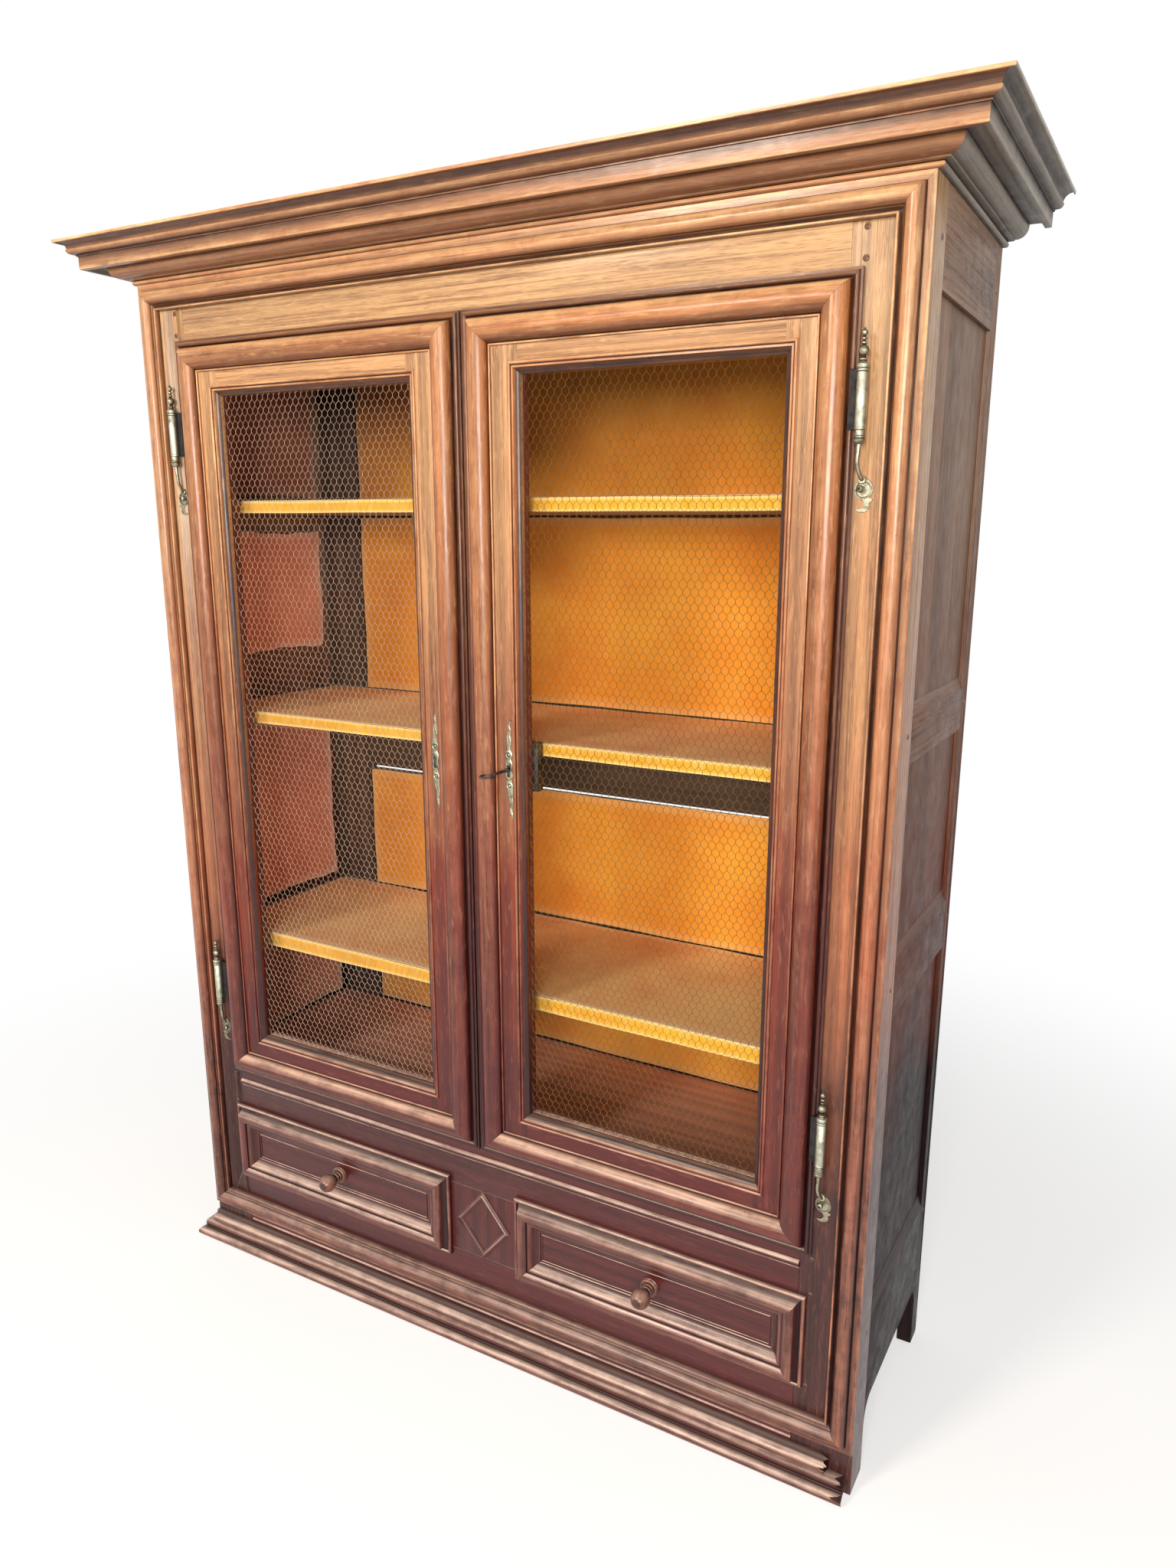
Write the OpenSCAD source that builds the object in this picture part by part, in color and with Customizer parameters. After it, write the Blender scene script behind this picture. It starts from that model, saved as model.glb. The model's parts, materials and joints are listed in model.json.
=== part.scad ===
// Two-door country bookcase in oak, made over from a wardrobe: wire-mesh doors over two drawers,
// a deep cornice, a heavy frame moulding round the front and a moulded plinth.
// Millimetres. +X is to the right seen from the front, +Y goes to the back, +Z is up.
// The origin is on the floor, under the middle of the whole bounding box.

/* [Case] */
// Width of the case over its corner posts
case_w = 1470; // [1380:5:1600]
// Depth of the case, from the front frame to the back boards
case_d = 448; // [400:2:520]
// Thickness of the boards of the front frame
front_t = 28; // [24:1:34]
// Thickness of the side frames
side_t = 28; // [24:1:34]
// Width of each corner post on the front
post_w = 107; // [100:1:116]
// Depth of each corner post on the side
side_stile_w = 60; // [54:1:80]
// Width of the rear post on the side
rear_stile_w = 42; // [36:1:60]
// Thickness of the roof board
roof_t = 15; // [12:1:22]
// Height of the floor board's top above the lower edge of the door opening, as a drop
floor_drop = 3; // [1:1:10]
// Thickness of the floor board
floor_t = 22; // [18:1:28]

/* [Heights on the front] */
// Floor to the lower edge of the frame moulding
base_h = 82; // [70:1:110]
// Bottom rail that shows between the frame moulding and the drawers
bottom_rail_show = 46; // [30:1:60]
// Height of a drawer front over its moulding
drawer_h = 173; // [164:1:200]
// Middle rail that shows between the drawers and the doors
mid_rail_show = 79; // [70:1:100]
// Height of a door over its moulding
door_h = 1473; // [1400:5:1600]
// Top rail that shows between the doors and the frame moulding
top_rail_show = 55; // [40:1:80]
// Height of the cornice
cornice_h = 70; // [66:1:90]

/* [Frame moulding] */
// Width of the moulding that runs round the front
frame_mould_w = 48; // [44:1:60]
// Flat strip along its outer edge
frame_strip_w = 12; // [8:1:14]
// How far the flat strip stands proud
frame_strip_h = 6; // [4:1:8]
// Cove between the round and the inner arris
frame_cove_w = 7; // [5:1:10]
// Inner arris
frame_arris_w = 4; // [3:0.5:6]
// How far the inner arris stands proud
frame_arris_h = 12; // [9:1:15]

/* [Cornice and plinth] */
// How far the cornice stands out from the case
cornice_over = 102; // [92:1:130]
// How far its flat fascia stands out
fascia_over = 71.5; // [66:0.5:80]
// Height of the flat fascia
fascia_h = 22; // [16:1:26]
// How far the lower plinth member stands out
plinth_over = 35; // [28:1:45]
// Height of the lower plinth member
plinth_low_h = 36; // [30:1:44]
// How far the upper plinth member stands out
plinth_up_over = 20; // [14:1:26]
// Height of the upper plinth member
plinth_up_h = 24; // [18:1:30]
// Length of the upper member that is broken off at the right end
plinth_loss = 38; // [0:1:80]
// Length of the left return of the lower member
plinth_return = 60; // [40:1:120]

/* [Side frames] */
// Underside of the bottom side rail
side_bottom_z = 132; // [110:1:150]
// Height of the bottom side rail
side_bottom_h = 196; // [150:1:220]
// Radius of the brackets between the bottom side rail and the feet
foot_bracket_r = 36; // [20:1:50]
// Underside of the lower middle side rail
side_lower_z = 835; // [760:1:900]
// Height of the lower middle side rail
side_lower_h = 110; // [90:1:130]
// Underside of the upper middle side rail
side_upper_z = 1234; // [1150:1:1300]
// Height of the upper middle side rail
side_upper_h = 90; // [70:1:110]
// Underside of the top side rail
side_top_z = 1875; // [1800:1:1920]
// Thickness of the side panels
panel_t = 12; // [9:1:14]
// How far the side panels lie behind the face of their frame
panel_recess = 8; // [5:1:10]
// How far a panel's edge enters its groove
panel_tongue = 7; // [5:1:10]
// Height of the sloping upper edge of the side rails
rail_slope_h = 22; // [12:1:30]

/* [Back] */
// Thickness of the back frame
back_t = 24; // [20:1:30]
// Width of the back frame's stiles
back_stile_w = 107; // [80:1:130]
// Height of the back's bottom rail
back_bottom_h = 120; // [90:1:150]
// Underside of the back's bottom rail
back_bottom_z = 100; // [80:1:120]
// Underside of the back's middle rail
back_mid_z = 1029; // [980:1:1060]
// Height of the back's middle rail
back_mid_h = 165; // [140:1:180]
// Height of the back's top rail
back_top_h = 80; // [60:1:110]
// Thickness of the back panels
back_panel_t = 10; // [8:1:14]
// Gap that shrinkage left between the lower back panel and the middle rail
back_gap = 9; // [2:1:24]

/* [Doors] */
// Case stile that shows between the frame moulding and a door
stile_show = 39.5; // [34:0.5:46]
// Gap between the two doors where they meet
meeting_gap = 3.5; // [3:0.1:5]
// How far the door moulding laps over the rails above and below
door_lip = 20; // [14:0.5:24]
// Gap all round between a door leaf and its opening
leaf_gap = 1.5; // [1:0.1:2.5]
// Gap between the back of a door's lip and the case frame
seat_gap = 0.4; // [0.3:0.1:1]
// How far the flat of the door frame stands in front of the case frame
leaf_proud = 8; // [6:0.5:9]
// Hinge side, from the door's edge to the mesh
sight_hinge = 102; // [96:1:112]
// Meeting side, from the door's edge to the mesh
sight_meet = 107.5; // [100:0.5:116]
// Top and bottom, from the door's edge to the mesh
sight_rail = 100.5; // [94:0.5:112]
// Width of the large moulding round the door
door_mould_w = 58; // [54:1:64]
// Radius of its round
door_torus_r = 20; // [17:0.5:22]
// Distance from the door's edge to the middle of its round
door_torus_d = 34; // [32:0.5:36]
// Height of the middle of that round above the case frame
door_torus_h = 5.5; // [4:0.5:8]
// Width of the small moulding round the mesh
stick_w = 18; // [15:0.5:22]
// Depth of the mesh behind the face of the case frame
mesh_y = 8; // [5:0.5:12]
// Width of the rebate behind the mesh
mesh_rebate = 9; // [7:0.5:12]

/* [Wire mesh] */
// Thickness of the net
net_t = 1.6; // [1.2:0.1:2.4]
// Width of each strand of the net
strand_w = 2.4; // [1.6:0.1:4]
// Width of one opening, flat to flat
hex_pitch = 66; // [60:1:90]
// Depth of the fillets that hold the net
fillet_d = 13; // [10:0.5:16]

/* [Drawers] */
// Centre board that shows between the drawers
centre_show = 150; // [120:1:180]
// Case stile that shows between the frame moulding and a drawer
drawer_stile_show = 44; // [43:0.5:50]
// How far a drawer's moulding laps over its opening
drawer_lip = 14; // [10:1:16]
// Gap round a drawer in its opening
drawer_gap = 1; // [0.6:0.1:2]
// Gap between a drawer and its runners
runner_gap = 0.5; // [0.3:0.1:0.9]
// Width of the drawer's moulding
drawer_mould_w = 56; // [50:1:60]
// How far the highest round of that moulding stands proud
drawer_mould_h = 23; // [18:0.5:25]
// Thickness of the drawer's front board
drawer_front_t = 20; // [16:1:26]
// Length of the drawer box behind its front board
drawer_len = 330; // [280:5:350]
// Thickness of the drawer's sides
drawer_side_t = 12; // [9:1:16]
// Height of the drawer's sides
drawer_side_h = 128; // [100:1:132]
// Thickness of the drawer's bottom
drawer_bottom_t = 8; // [6:1:12]
// Radius of the ball of the knob
knob_r = 17.5; // [12:0.5:22]
// Distance from the drawer front to the middle of the ball
knob_reach = 38; // [36:1:46]
// Radius of the knob's spindle
spindle_r = 6; // [4:0.5:8]

/* [Shelves] */
// Top of the upper shelf
shelf_upper_z = 1615; // [1580:1:1650]
// Top of the middle shelf
shelf_middle_z = 1208; // [1196:1:1224]
// Top of the lower shelf
shelf_lower_z = 740; // [700:1:780]
// Thickness of a shelf
shelf_t = 22; // [18:1:26]
// Distance from the case front to the shelves' front edge
shelf_front = 50; // [48:1:80]
// Width of the battens under the shelves
cleat_w = 15; // [10:1:20]
// Height of those battens
cleat_h = 20; // [14:1:30]
// Thickness of the cloth lining
cloth_t = 1.2; // [1:0.1:2]
// Gap between the cloth and the wood behind it
cloth_gap = 0.3; // [0.3:0.1:0.6]

/* [Hinges] */
// Distance from the door's edge to the hinge's axis, sideways
hinge_dx = 9.5; // [9:0.5:11]
// Distance of the hinge's axis in front of the case frame
hinge_dy = 17; // [15:0.5:20]
// Radius of the hinge barrel
barrel_r = 7.5; // [6.5:0.5:8]
// Length of the hinge barrel
barrel_len = 79; // [70:1:90]
// Length of the urn and finial above the barrel
finial_len = 49; // [40:1:56]
// Foot of the upper barrel above the bottom of the door
upper_hinge_z = 1268; // [1200:1:1300]
// Foot of the lower barrel above the bottom of the door
lower_hinge_z = 172; // [150:1:220]
// Radius of the hinge pin
hinge_pin_r = 3; // [2.5:0.1:3.5]
// Radial clearance of the hinge pin
pin_clear = 0.06; // [0.03:0.01:0.1]
// Thickness of the hinge's blade in the door
blade_t = 2.7; // [2:0.1:3]
// Length of the straight shank below the barrel
shank_len = 30; // [24:1:36]
// Radius of the hinge's shank
shank_r = 3.6; // [3:0.1:4.5]

/* [Lock and bolts] */
// Height of the keyholes above the bottom of the doors
keyhole_z = 742; // [700:1:780]
// Distance from the meeting edge to the right keyhole
keyhole_right = 80; // [74:0.5:81]
// Distance from the meeting edge to the left keyhole
keyhole_left = 71; // [68:0.5:79]
// Length of an escutcheon
escutcheon_l = 173; // [150:1:190]
// Half width of an escutcheon
escutcheon_r = 7.5; // [6.5:0.5:8.5]
// Thickness of an escutcheon
escutcheon_t = 1.5; // [1:0.1:2]
// Width of the lock case
lock_w = 90; // [80:1:92]
// Height of the lock case
lock_h = 85; // [80:1:90]
// Depth of the lock case
lock_d = 16; // [14:0.5:17]
// Wall of the lock case
lock_wall = 1.5; // [1:0.1:2]
// Travel of the lock bolt
bolt_throw = 12; // [8:0.5:13]
// Height of the lock bolt
bolt_h = 14; // [10:0.5:16]
// Depth of the lock bolt
bolt_d = 7; // [5:0.5:8]
// Radius of the key's shank
key_r = 2.6; // [2:0.1:3]
// How far the key stands out in front of the door
key_out = 78; // [60:1:84]
// Radius of the key's bow
key_bow_r = 13; // [10:0.5:16]
// Travel of the upper and lower bolts
slide_throw = 20; // [12:1:21]
// Width of those bolts
slide_w = 14; // [10:1:18]
// Thickness of those bolts
slide_t = 5; // [4:0.5:6]
// Length of those bolts
slide_len = 190; // [150:1:240]
// Running clearance of the bolts in their guides
slide_clear = 0.3; // [0.2:0.05:0.5]

/* [Hidden] */
$fn = 64;

// A small overlap that keeps cuts clean
eps = 0.01;

// Finishes
oak_light = "#B98250";
oak_mid = "#9A6238";
oak_dark = "#6B3A2A";
oak_side = "#5A4038";
deal = "#8A6A4A";
yellow_cloth = "#E8A81E";
orange_cloth = "#D98332";
red_cloth = "#B8623A";
old_brass = "#A8925A";
steel = "#4A4845";
wire = "#B9A98A";

// Places across the front
half_w = case_w / 2;
open_x = half_w - post_w;
inner_x = half_w - side_t;
frame_in_x = half_w - frame_mould_w;
door_out_x = frame_in_x - stile_show;
door_in_x = meeting_gap / 2;
leaf_out_x = open_x - leaf_gap;
mesh_x0 = door_in_x + sight_meet;
mesh_x1 = door_out_x - sight_hinge;
drawer_in_x = centre_show / 2;
drawer_out_x = frame_in_x - drawer_stile_show;
drawer_w = drawer_out_x - drawer_in_x;
centre_half = drawer_in_x + drawer_lip;

// Heights
frame_in_z = base_h + frame_mould_w;
drawer_z = frame_in_z + bottom_rail_show;
drawer_top = drawer_z + drawer_h;
door_z = drawer_top + mid_rail_show;
door_top = door_z + door_h;
frame_top = door_top + top_rail_show + frame_mould_w;
total_h = frame_top + cornice_h;
post_top = total_h - roof_t;
drawer_open_z = drawer_z + drawer_lip;
drawer_open_top = drawer_top - drawer_lip;
door_open_z = door_z + door_lip;
door_open_top = door_top - door_lip;
floor_z = door_open_z - floor_drop;
leaf_z = door_open_z + leaf_gap;
leaf_top = door_open_top - leaf_gap;
lap = min(door_out_x - leaf_out_x, door_lip + leaf_gap);
mesh_z0 = door_z + sight_rail;
mesh_z1 = door_top - sight_rail;
key_z = door_z + keyhole_z;

// Places from front to back
front_y = (cornice_over - case_d) / 2;
back_in_y = case_d - back_t;
shelf_back = back_in_y - cloth_t - 2 * cloth_gap;
leaf_y = -seat_gap - leaf_proud;
lock_x0 = mesh_x0 + 7 - lock_w;
key_x = door_in_x + keyhole_right;
hinge_x = door_out_x + hinge_dx;

// An arc of points: middle, radius, first and last angle, number of steps
function arc(cx, cy, r, a0, a1, n) =
    [for (i = [0 : n]) [cx + r * cos(a0 + (a1 - a0) * i / n), cy + r * sin(a0 + (a1 - a0) * i / n)]];

// Everything is drawn from the case's front face at y = 0, and set in place here
module at_front() {
    translate([0, front_y, 0]) children();
}

module box(lo, hi) {
    translate(lo) cube([hi[0] - lo[0], hi[1] - lo[1], hi[2] - lo[2]]);
}

module flip(left) {
    if (left) mirror([1, 0, 0]) children();
    else children();
}

// A flat shape in Y and Z, drawn out along X
module along_x(x0, x1) {
    translate([x0, 0, 0]) rotate([90, 0, 90]) linear_extrude(x1 - x0) children();
}

// A flat shape in X and Z, drawn out along Y
module along_y(y0, y1) {
    translate([0, y1, 0]) rotate([90, 0, 0]) linear_extrude(y1 - y0) children();
}

// One length of moulding with both ends mitred: width inwards along Y, height along Z
module mitred_bar(len, w, outline) {
    intersection() {
        rotate([90, 0, 90]) linear_extrude(len) polygon(outline);
        translate([0, 0, -50]) linear_extrude(200)
            polygon([[0, 0], [len, 0], [len - w, w], [w, w]]);
    }
}

// Four mitred lengths round a rectangle that stands on the front, facing -Y
module moulding_ring(x0, z0, x1, z1, w, outline) {
    translate([x0, 0, z0]) rotate([90, 0, 0]) {
        mitred_bar(x1 - x0, w, outline);
        translate([x1 - x0, 0, 0]) rotate(90) mitred_bar(z1 - z0, w, outline);
        translate([x1 - x0, z1 - z0, 0]) rotate(180) mitred_bar(x1 - x0, w, outline);
        translate([0, z1 - z0, 0]) rotate(270) mitred_bar(z1 - z0, w, outline);
    }
}

// Corner posts and side frames

// The three panels of a side frame, as boxes that grow by a clearance
module side_panel_boxes(clear) {
    x1 = half_w - panel_recess;
    for (z = [[side_bottom_z + side_bottom_h, side_lower_z],
              [side_lower_z + side_lower_h, side_upper_z],
              [side_upper_z + side_upper_h, side_top_z]])
        box([x1 - panel_t - clear, side_stile_w - panel_tongue - clear, z[0] - panel_tongue - clear],
            [x1 + clear, case_d - rear_stile_w + panel_tongue + clear, z[1] + panel_tongue + clear]);
}

groove_clear = 0.2;

// Pegs: [x, z] on the front, [y, z] on the side
peg_r = 4.5;
peg_len = 14;
peg_proud = 0.8;
peg_in = 20;
front_peg_spots = [for (z = [door_open_top + 30, post_top - 110, door_open_z - 30, drawer_open_top + 18,
    drawer_open_z - 12]) [open_x + peg_in, z]];
side_peg_spots = [for (z = [side_bottom_z + side_bottom_h - 40, side_lower_z + side_lower_h / 2,
    side_upper_z + side_upper_h / 2, side_top_z + 60]) for (y = [side_stile_w - 20,
    case_d - rear_stile_w + 18]) [y, z]];

module peg_set() {
    for (p = front_peg_spots)
        translate([p[0], peg_len, p[1]]) rotate([90, 0, 0]) cylinder(r = peg_r, h = peg_len + peg_proud);
    for (p = side_peg_spots)
        translate([half_w - peg_len, p[0], p[1]]) rotate([0, 90, 0])
            cylinder(r = peg_r, h = peg_len + peg_proud);
}

module front_post(left) {
    color(oak_mid) at_front() flip(left) difference() {
        union() {
            box([open_x, 0, 0], [half_w, front_t, post_top]);
            box([inner_x, front_t - eps, 0], [half_w, side_stile_w, post_top]);
        }
        side_panel_boxes(groove_clear);
        peg_set();
    }
}

module rear_post(left) {
    color(oak_side) at_front() flip(left) difference() {
        box([inner_x, case_d - rear_stile_w, 0], [half_w, case_d, post_top]);
        side_panel_boxes(groove_clear);
        peg_set();
    }
}

module sloped_rail(z0, z1) {
    along_y(side_stile_w, case_d - rear_stile_w)
        polygon([[inner_x, z0], [half_w, z0], [half_w, z1 - rail_slope_h],
                 [half_w - panel_recess, z1], [inner_x, z1]]);
}

module foot_bracket(y, way) {
    z = side_bottom_z + eps;
    along_x(inner_x, half_w) difference() {
        translate([min(y, y + way * foot_bracket_r), z - foot_bracket_r]) square(foot_bracket_r);
        translate([y + way * foot_bracket_r, z - foot_bracket_r]) circle(foot_bracket_r);
    }
}

module side_rails(left) {
    color(oak_side) at_front() flip(left) difference() {
        union() {
            sloped_rail(side_bottom_z, side_bottom_z + side_bottom_h);
            foot_bracket(side_stile_w, 1);
            foot_bracket(case_d - rear_stile_w, -1);
            sloped_rail(side_lower_z, side_lower_z + side_lower_h);
            sloped_rail(side_upper_z, side_upper_z + side_upper_h);
            box([inner_x, side_stile_w, side_top_z], [half_w, case_d - rear_stile_w, post_top]);
        }
        side_panel_boxes(groove_clear);
    }
}

module side_panels(left) {
    color(oak_side) at_front() flip(left) side_panel_boxes(0);
}

module frame_pegs() {
    color(oak_light) at_front() {
        peg_set();
        mirror([1, 0, 0]) peg_set();
    }
}

// Front frame

module top_rail() {
    color(oak_light) at_front() box([-open_x, 0, door_open_top], [open_x, front_t, post_top]);
}

rail_bead_r = 6;
rail_bead_drop = 23;
rail_step_drop = 42;
rail_step_t = 1.5;

module mid_rail() {
    color(oak_mid) at_front() {
        box([-open_x, 0, drawer_open_top], [open_x, front_t, door_open_z]);
        along_x(-open_x, open_x) {
            translate([0, door_z - rail_bead_drop]) intersection() {
                circle(rail_bead_r);
                translate([-rail_bead_r, -rail_bead_r]) square([rail_bead_r + eps, 2 * rail_bead_r]);
            }
            translate([-rail_step_t, door_z - rail_step_drop])
                square([rail_step_t + eps, rail_step_drop - rail_bead_drop - rail_bead_r - 2]);
        }
    }
}

base_bead_h = 4;
base_bead_r = 3;

module bottom_rail() {
    bead_low = plinth_low_h + plinth_up_h + base_bead_h;
    color(oak_dark) at_front() {
        box([-open_x, 0, plinth_low_h / 2], [open_x, front_t, drawer_open_z]);
        along_x(-open_x, open_x) for (z = [bead_low + base_bead_r, base_h - base_bead_r - 1])
            translate([0, z]) intersection() {
                circle(base_bead_r);
                translate([-base_bead_r, -base_bead_r]) square([base_bead_r + eps, 2 * base_bead_r]);
            }
    }
}

module centre_board() {
    color(oak_dark) at_front()
        box([-centre_half, 0, drawer_open_z], [centre_half, front_t, drawer_open_top]);
}

diamond_w = 11;
diamond_h = 6;
diamond_margin = 14;

module diamond_moulding() {
    half_x = drawer_in_x - diamond_margin;
    half_z = drawer_h / 2 - diamond_margin;
    reach = sqrt(half_x * half_x + half_z * half_z);
    tilt = atan2(half_z, half_x);
    // Width of a strip measured across the diamond's two axes
    cut_x = diamond_w / sin(tilt);
    cut_z = diamond_w / cos(tilt);
    color(oak_dark) at_front() translate([0, 0, drawer_z + drawer_h / 2])
        for (sx = [0, 1]) for (sz = [0, 1]) mirror([sx, 0, 0]) mirror([0, 0, sz]) {
            along_y(-diamond_h * 0.6, 0)
                polygon([[half_x, 0], [0, half_z], [0, half_z - cut_z], [half_x - cut_x, 0]]);
            along_y(-diamond_h, -diamond_h * 0.6 + eps)
                polygon([[half_x - cut_x * 0.3, 0], [0, half_z - cut_z * 0.3],
                         [0, half_z - cut_z * 0.7], [half_x - cut_x * 0.7, 0]]);
        }
}

function frame_outline() =
    let (r = (frame_mould_w - frame_strip_w - 1 - frame_cove_w - frame_arris_w) / 2)
    concat([[0, 0], [0, frame_strip_h], [frame_strip_w, frame_strip_h],
            [frame_strip_w, frame_strip_h - 2], [frame_strip_w + 1, frame_strip_h - 2]],
           arc(frame_strip_w + 1 + r, frame_strip_h + 2.5, r, 180, 0, 14),
           arc(frame_mould_w - frame_arris_w, frame_strip_h + frame_cove_w - 2, frame_cove_w, 180, 270, 5),
           [[frame_mould_w - frame_arris_w, frame_arris_h], [frame_mould_w, frame_arris_h],
            [frame_mould_w, 0]]);

module frame_moulding() {
    color(oak_mid) at_front()
        moulding_ring(-half_w, base_h, half_w, frame_top, frame_mould_w, frame_outline());
}

// Cornice: overhang, then height above its own underside
bead_r = 4;
bead_over = 9;
ovolo_over = 38;
ovolo_r = 18;
drip_r = 1.5;
drip_groove_r = 8;
fascia_rise = 48;
drip_low = cornice_h - fascia_rise;

function cornice_outline() =
    let (fascia_top = drip_low + fascia_h)
    concat([[0, 0], [bead_over - bead_r, 0]],
           arc(bead_over - bead_r, bead_r, bead_r, -90, 90, 8),
           [[bead_over - 3, 2 * bead_r], [ovolo_over - ovolo_r - 3, 2 * bead_r + 0.5],
            [ovolo_over - ovolo_r - 2, 2 * bead_r + 2.5]],
           arc(ovolo_over - ovolo_r, drip_low + 6, ovolo_r, -90, 0, 8),
           [[ovolo_over, drip_low + drip_groove_r],
            [fascia_over - drip_groove_r - 10, drip_low + drip_groove_r]],
           arc(fascia_over - drip_groove_r - 10, drip_low, drip_groove_r, 90, 0, 5),
           [[fascia_over - drip_r - 1, drip_low]],
           arc(fascia_over - drip_r, drip_low + drip_r, drip_r, -90, 0, 3),
           [[fascia_over, fascia_top], [fascia_over + 2.5, fascia_top]],
           [[fascia_over + 2.5, fascia_top + 2.5], [fascia_over + 5, fascia_top + 3]],
           arc(fascia_over + 7, cornice_h - 15, cornice_h - 15 - fascia_top - 3, -80, -8, 6),
           arc(cornice_over - 3, cornice_h - 16, cornice_over - fascia_over - 7
               - (cornice_h - 15 - fascia_top - 3) - 1, 172, 92, 6),
           [[cornice_over - 2, cornice_h - 5], [cornice_over, cornice_h - 5], [cornice_over, cornice_h],
            [0, cornice_h]]);

// The cornice's front length, square or mitred on plan
module cornice_front() {
    out = half_w + cornice_over;
    color(oak_light) at_front() translate([0, 0, frame_top]) intersection() {
        along_x(-out, out) mirror([1, 0]) polygon(cornice_outline());
        linear_extrude(cornice_h)
            polygon([[-half_w, 0], [half_w, 0], [out, -cornice_over], [-out, -cornice_over]]);
    }
}

module cornice_side(left) {
    out = half_w + cornice_over;
    color(oak_side) at_front() flip(left) translate([0, 0, frame_top]) intersection() {
        along_y(-cornice_over, case_d) translate([half_w, 0]) polygon(cornice_outline());
        linear_extrude(cornice_h)
            polygon([[half_w, 0], [out, -cornice_over], [out, case_d], [half_w, case_d]]);
    }
}

module roof_board() {
    color(deal) at_front() box([-half_w, 0, post_top], [half_w, case_d, total_h]);
}

// Plinth
plinth_nose_r = 9;
plinth_up_r = 8;

function plinth_low_outline() =
    concat([[0, 0], [plinth_over - 5, 0]],
           arc(plinth_over - plinth_nose_r, plinth_nose_r, plinth_nose_r, -60, 60, 8),
           [[plinth_over - 12, 2 * plinth_nose_r], [plinth_over - 12, 2 * plinth_nose_r + 2.5]],
           arc(plinth_over - 30, plinth_low_h - 14.5 + 6, 17, -40, 30, 5),
           [[plinth_over - 20, plinth_low_h], [0, plinth_low_h]]);

function plinth_up_outline() =
    concat([[0, plinth_low_h], [plinth_up_over - 6, plinth_low_h]],
           arc(plinth_up_over - plinth_up_r, plinth_low_h + plinth_up_r, plinth_up_r, -80, 75, 8),
           [[plinth_up_over - plinth_up_r, plinth_low_h + 17],
            [plinth_up_over - 12, plinth_low_h + 17.5]],
           [[plinth_up_over - 14, plinth_low_h + plinth_up_h], [0, plinth_low_h + plinth_up_h]]);

plinth_right_short = 5;

module plinth_lower() {
    out = half_w + plinth_over;
    color(oak_dark) at_front() {
        intersection() {
            along_x(-out, half_w - plinth_right_short) mirror([1, 0]) polygon(plinth_low_outline());
            linear_extrude(plinth_low_h)
                polygon([[-half_w, 0], [half_w, 0], [half_w, -plinth_over], [-out, -plinth_over]]);
        }
        intersection() {
            along_y(-plinth_over, plinth_return) mirror([1, 0]) translate([half_w, 0])
                polygon(plinth_low_outline());
            linear_extrude(plinth_low_h)
                polygon([[-half_w, 0], [-out, -plinth_over], [-out, plinth_return],
                         [-half_w, plinth_return]]);
        }
    }
}

module plinth_upper() {
    color(oak_dark) at_front() along_x(-half_w, half_w - plinth_loss) mirror([1, 0])
        polygon(plinth_up_outline());
}

// Back
back_rail_spots = [[back_bottom_z, back_bottom_z + back_bottom_h],
    [back_mid_z, back_mid_z + back_mid_h], [post_top - back_top_h, post_top]];
back_panel_y = case_d - 2;

module back_panel_boxes(clear) {
    half = inner_x - back_stile_w + panel_tongue;
    for (z = [[back_rail_spots[0][1] - panel_tongue, back_mid_z - back_gap],
              [back_rail_spots[1][1] - panel_tongue, back_rail_spots[2][0] + panel_tongue]])
        box([-half - clear, back_panel_y - back_panel_t - clear, z[0] - clear],
            [half + clear, back_panel_y + clear, z[1] + clear]);
}

module back_frame() {
    color(oak_side) at_front() difference() {
        union() {
            for (side = [0, 1]) mirror([side, 0, 0])
                box([inner_x - back_stile_w, back_in_y, back_bottom_z], [inner_x, case_d, post_top]);
            for (z = back_rail_spots)
                box([-(inner_x - back_stile_w), back_in_y, z[0]], [inner_x - back_stile_w, case_d, z[1]]);
        }
        back_panel_boxes(groove_clear);
    }
}

module back_panels() {
    color(deal) at_front() back_panel_boxes(0);
}

// Inside
bolt_slot_x = -(door_in_x + 62);

module floor_board() {
    s = slide_w / 2 + 1;
    color(deal) at_front() difference() {
        box([-inner_x, front_t, floor_z - floor_t], [inner_x, back_in_y, floor_z]);
        box([bolt_slot_x - s, front_t - 1, floor_z - floor_t - 1],
            [bolt_slot_x + s, front_t + slide_t + 3, floor_z + 1]);
    }
}

shelf_end_gap = 0.3;

module shelf(z) {
    color(deal) at_front()
        box([-inner_x + shelf_end_gap, shelf_front, z - shelf_t], [inner_x - shelf_end_gap, shelf_back, z]);
}

module shelf_battens() {
    color(deal) at_front() for (z = [shelf_upper_z, shelf_middle_z, shelf_lower_z]) for (side = [0, 1])
        mirror([side, 0, 0]) box([inner_x - cleat_w, shelf_front, z - shelf_t - cleat_h],
                                 [inner_x, back_in_y, z - shelf_t]);
}

// Cloth over the top and front edge of each shelf
module shelf_cloths() {
    x = inner_x - cleat_w;
    color(yellow_cloth) at_front() for (z = [shelf_upper_z, shelf_middle_z, shelf_lower_z])
        along_x(-x, x) translate([shelf_front - cloth_gap, z + cloth_gap])
            polygon([[0, 0], [shelf_back - shelf_front - 2, 0], [shelf_back - shelf_front - 2, cloth_t],
                     [-cloth_t, cloth_t], [-cloth_t, -shelf_t], [0, -shelf_t]]);
}

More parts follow.
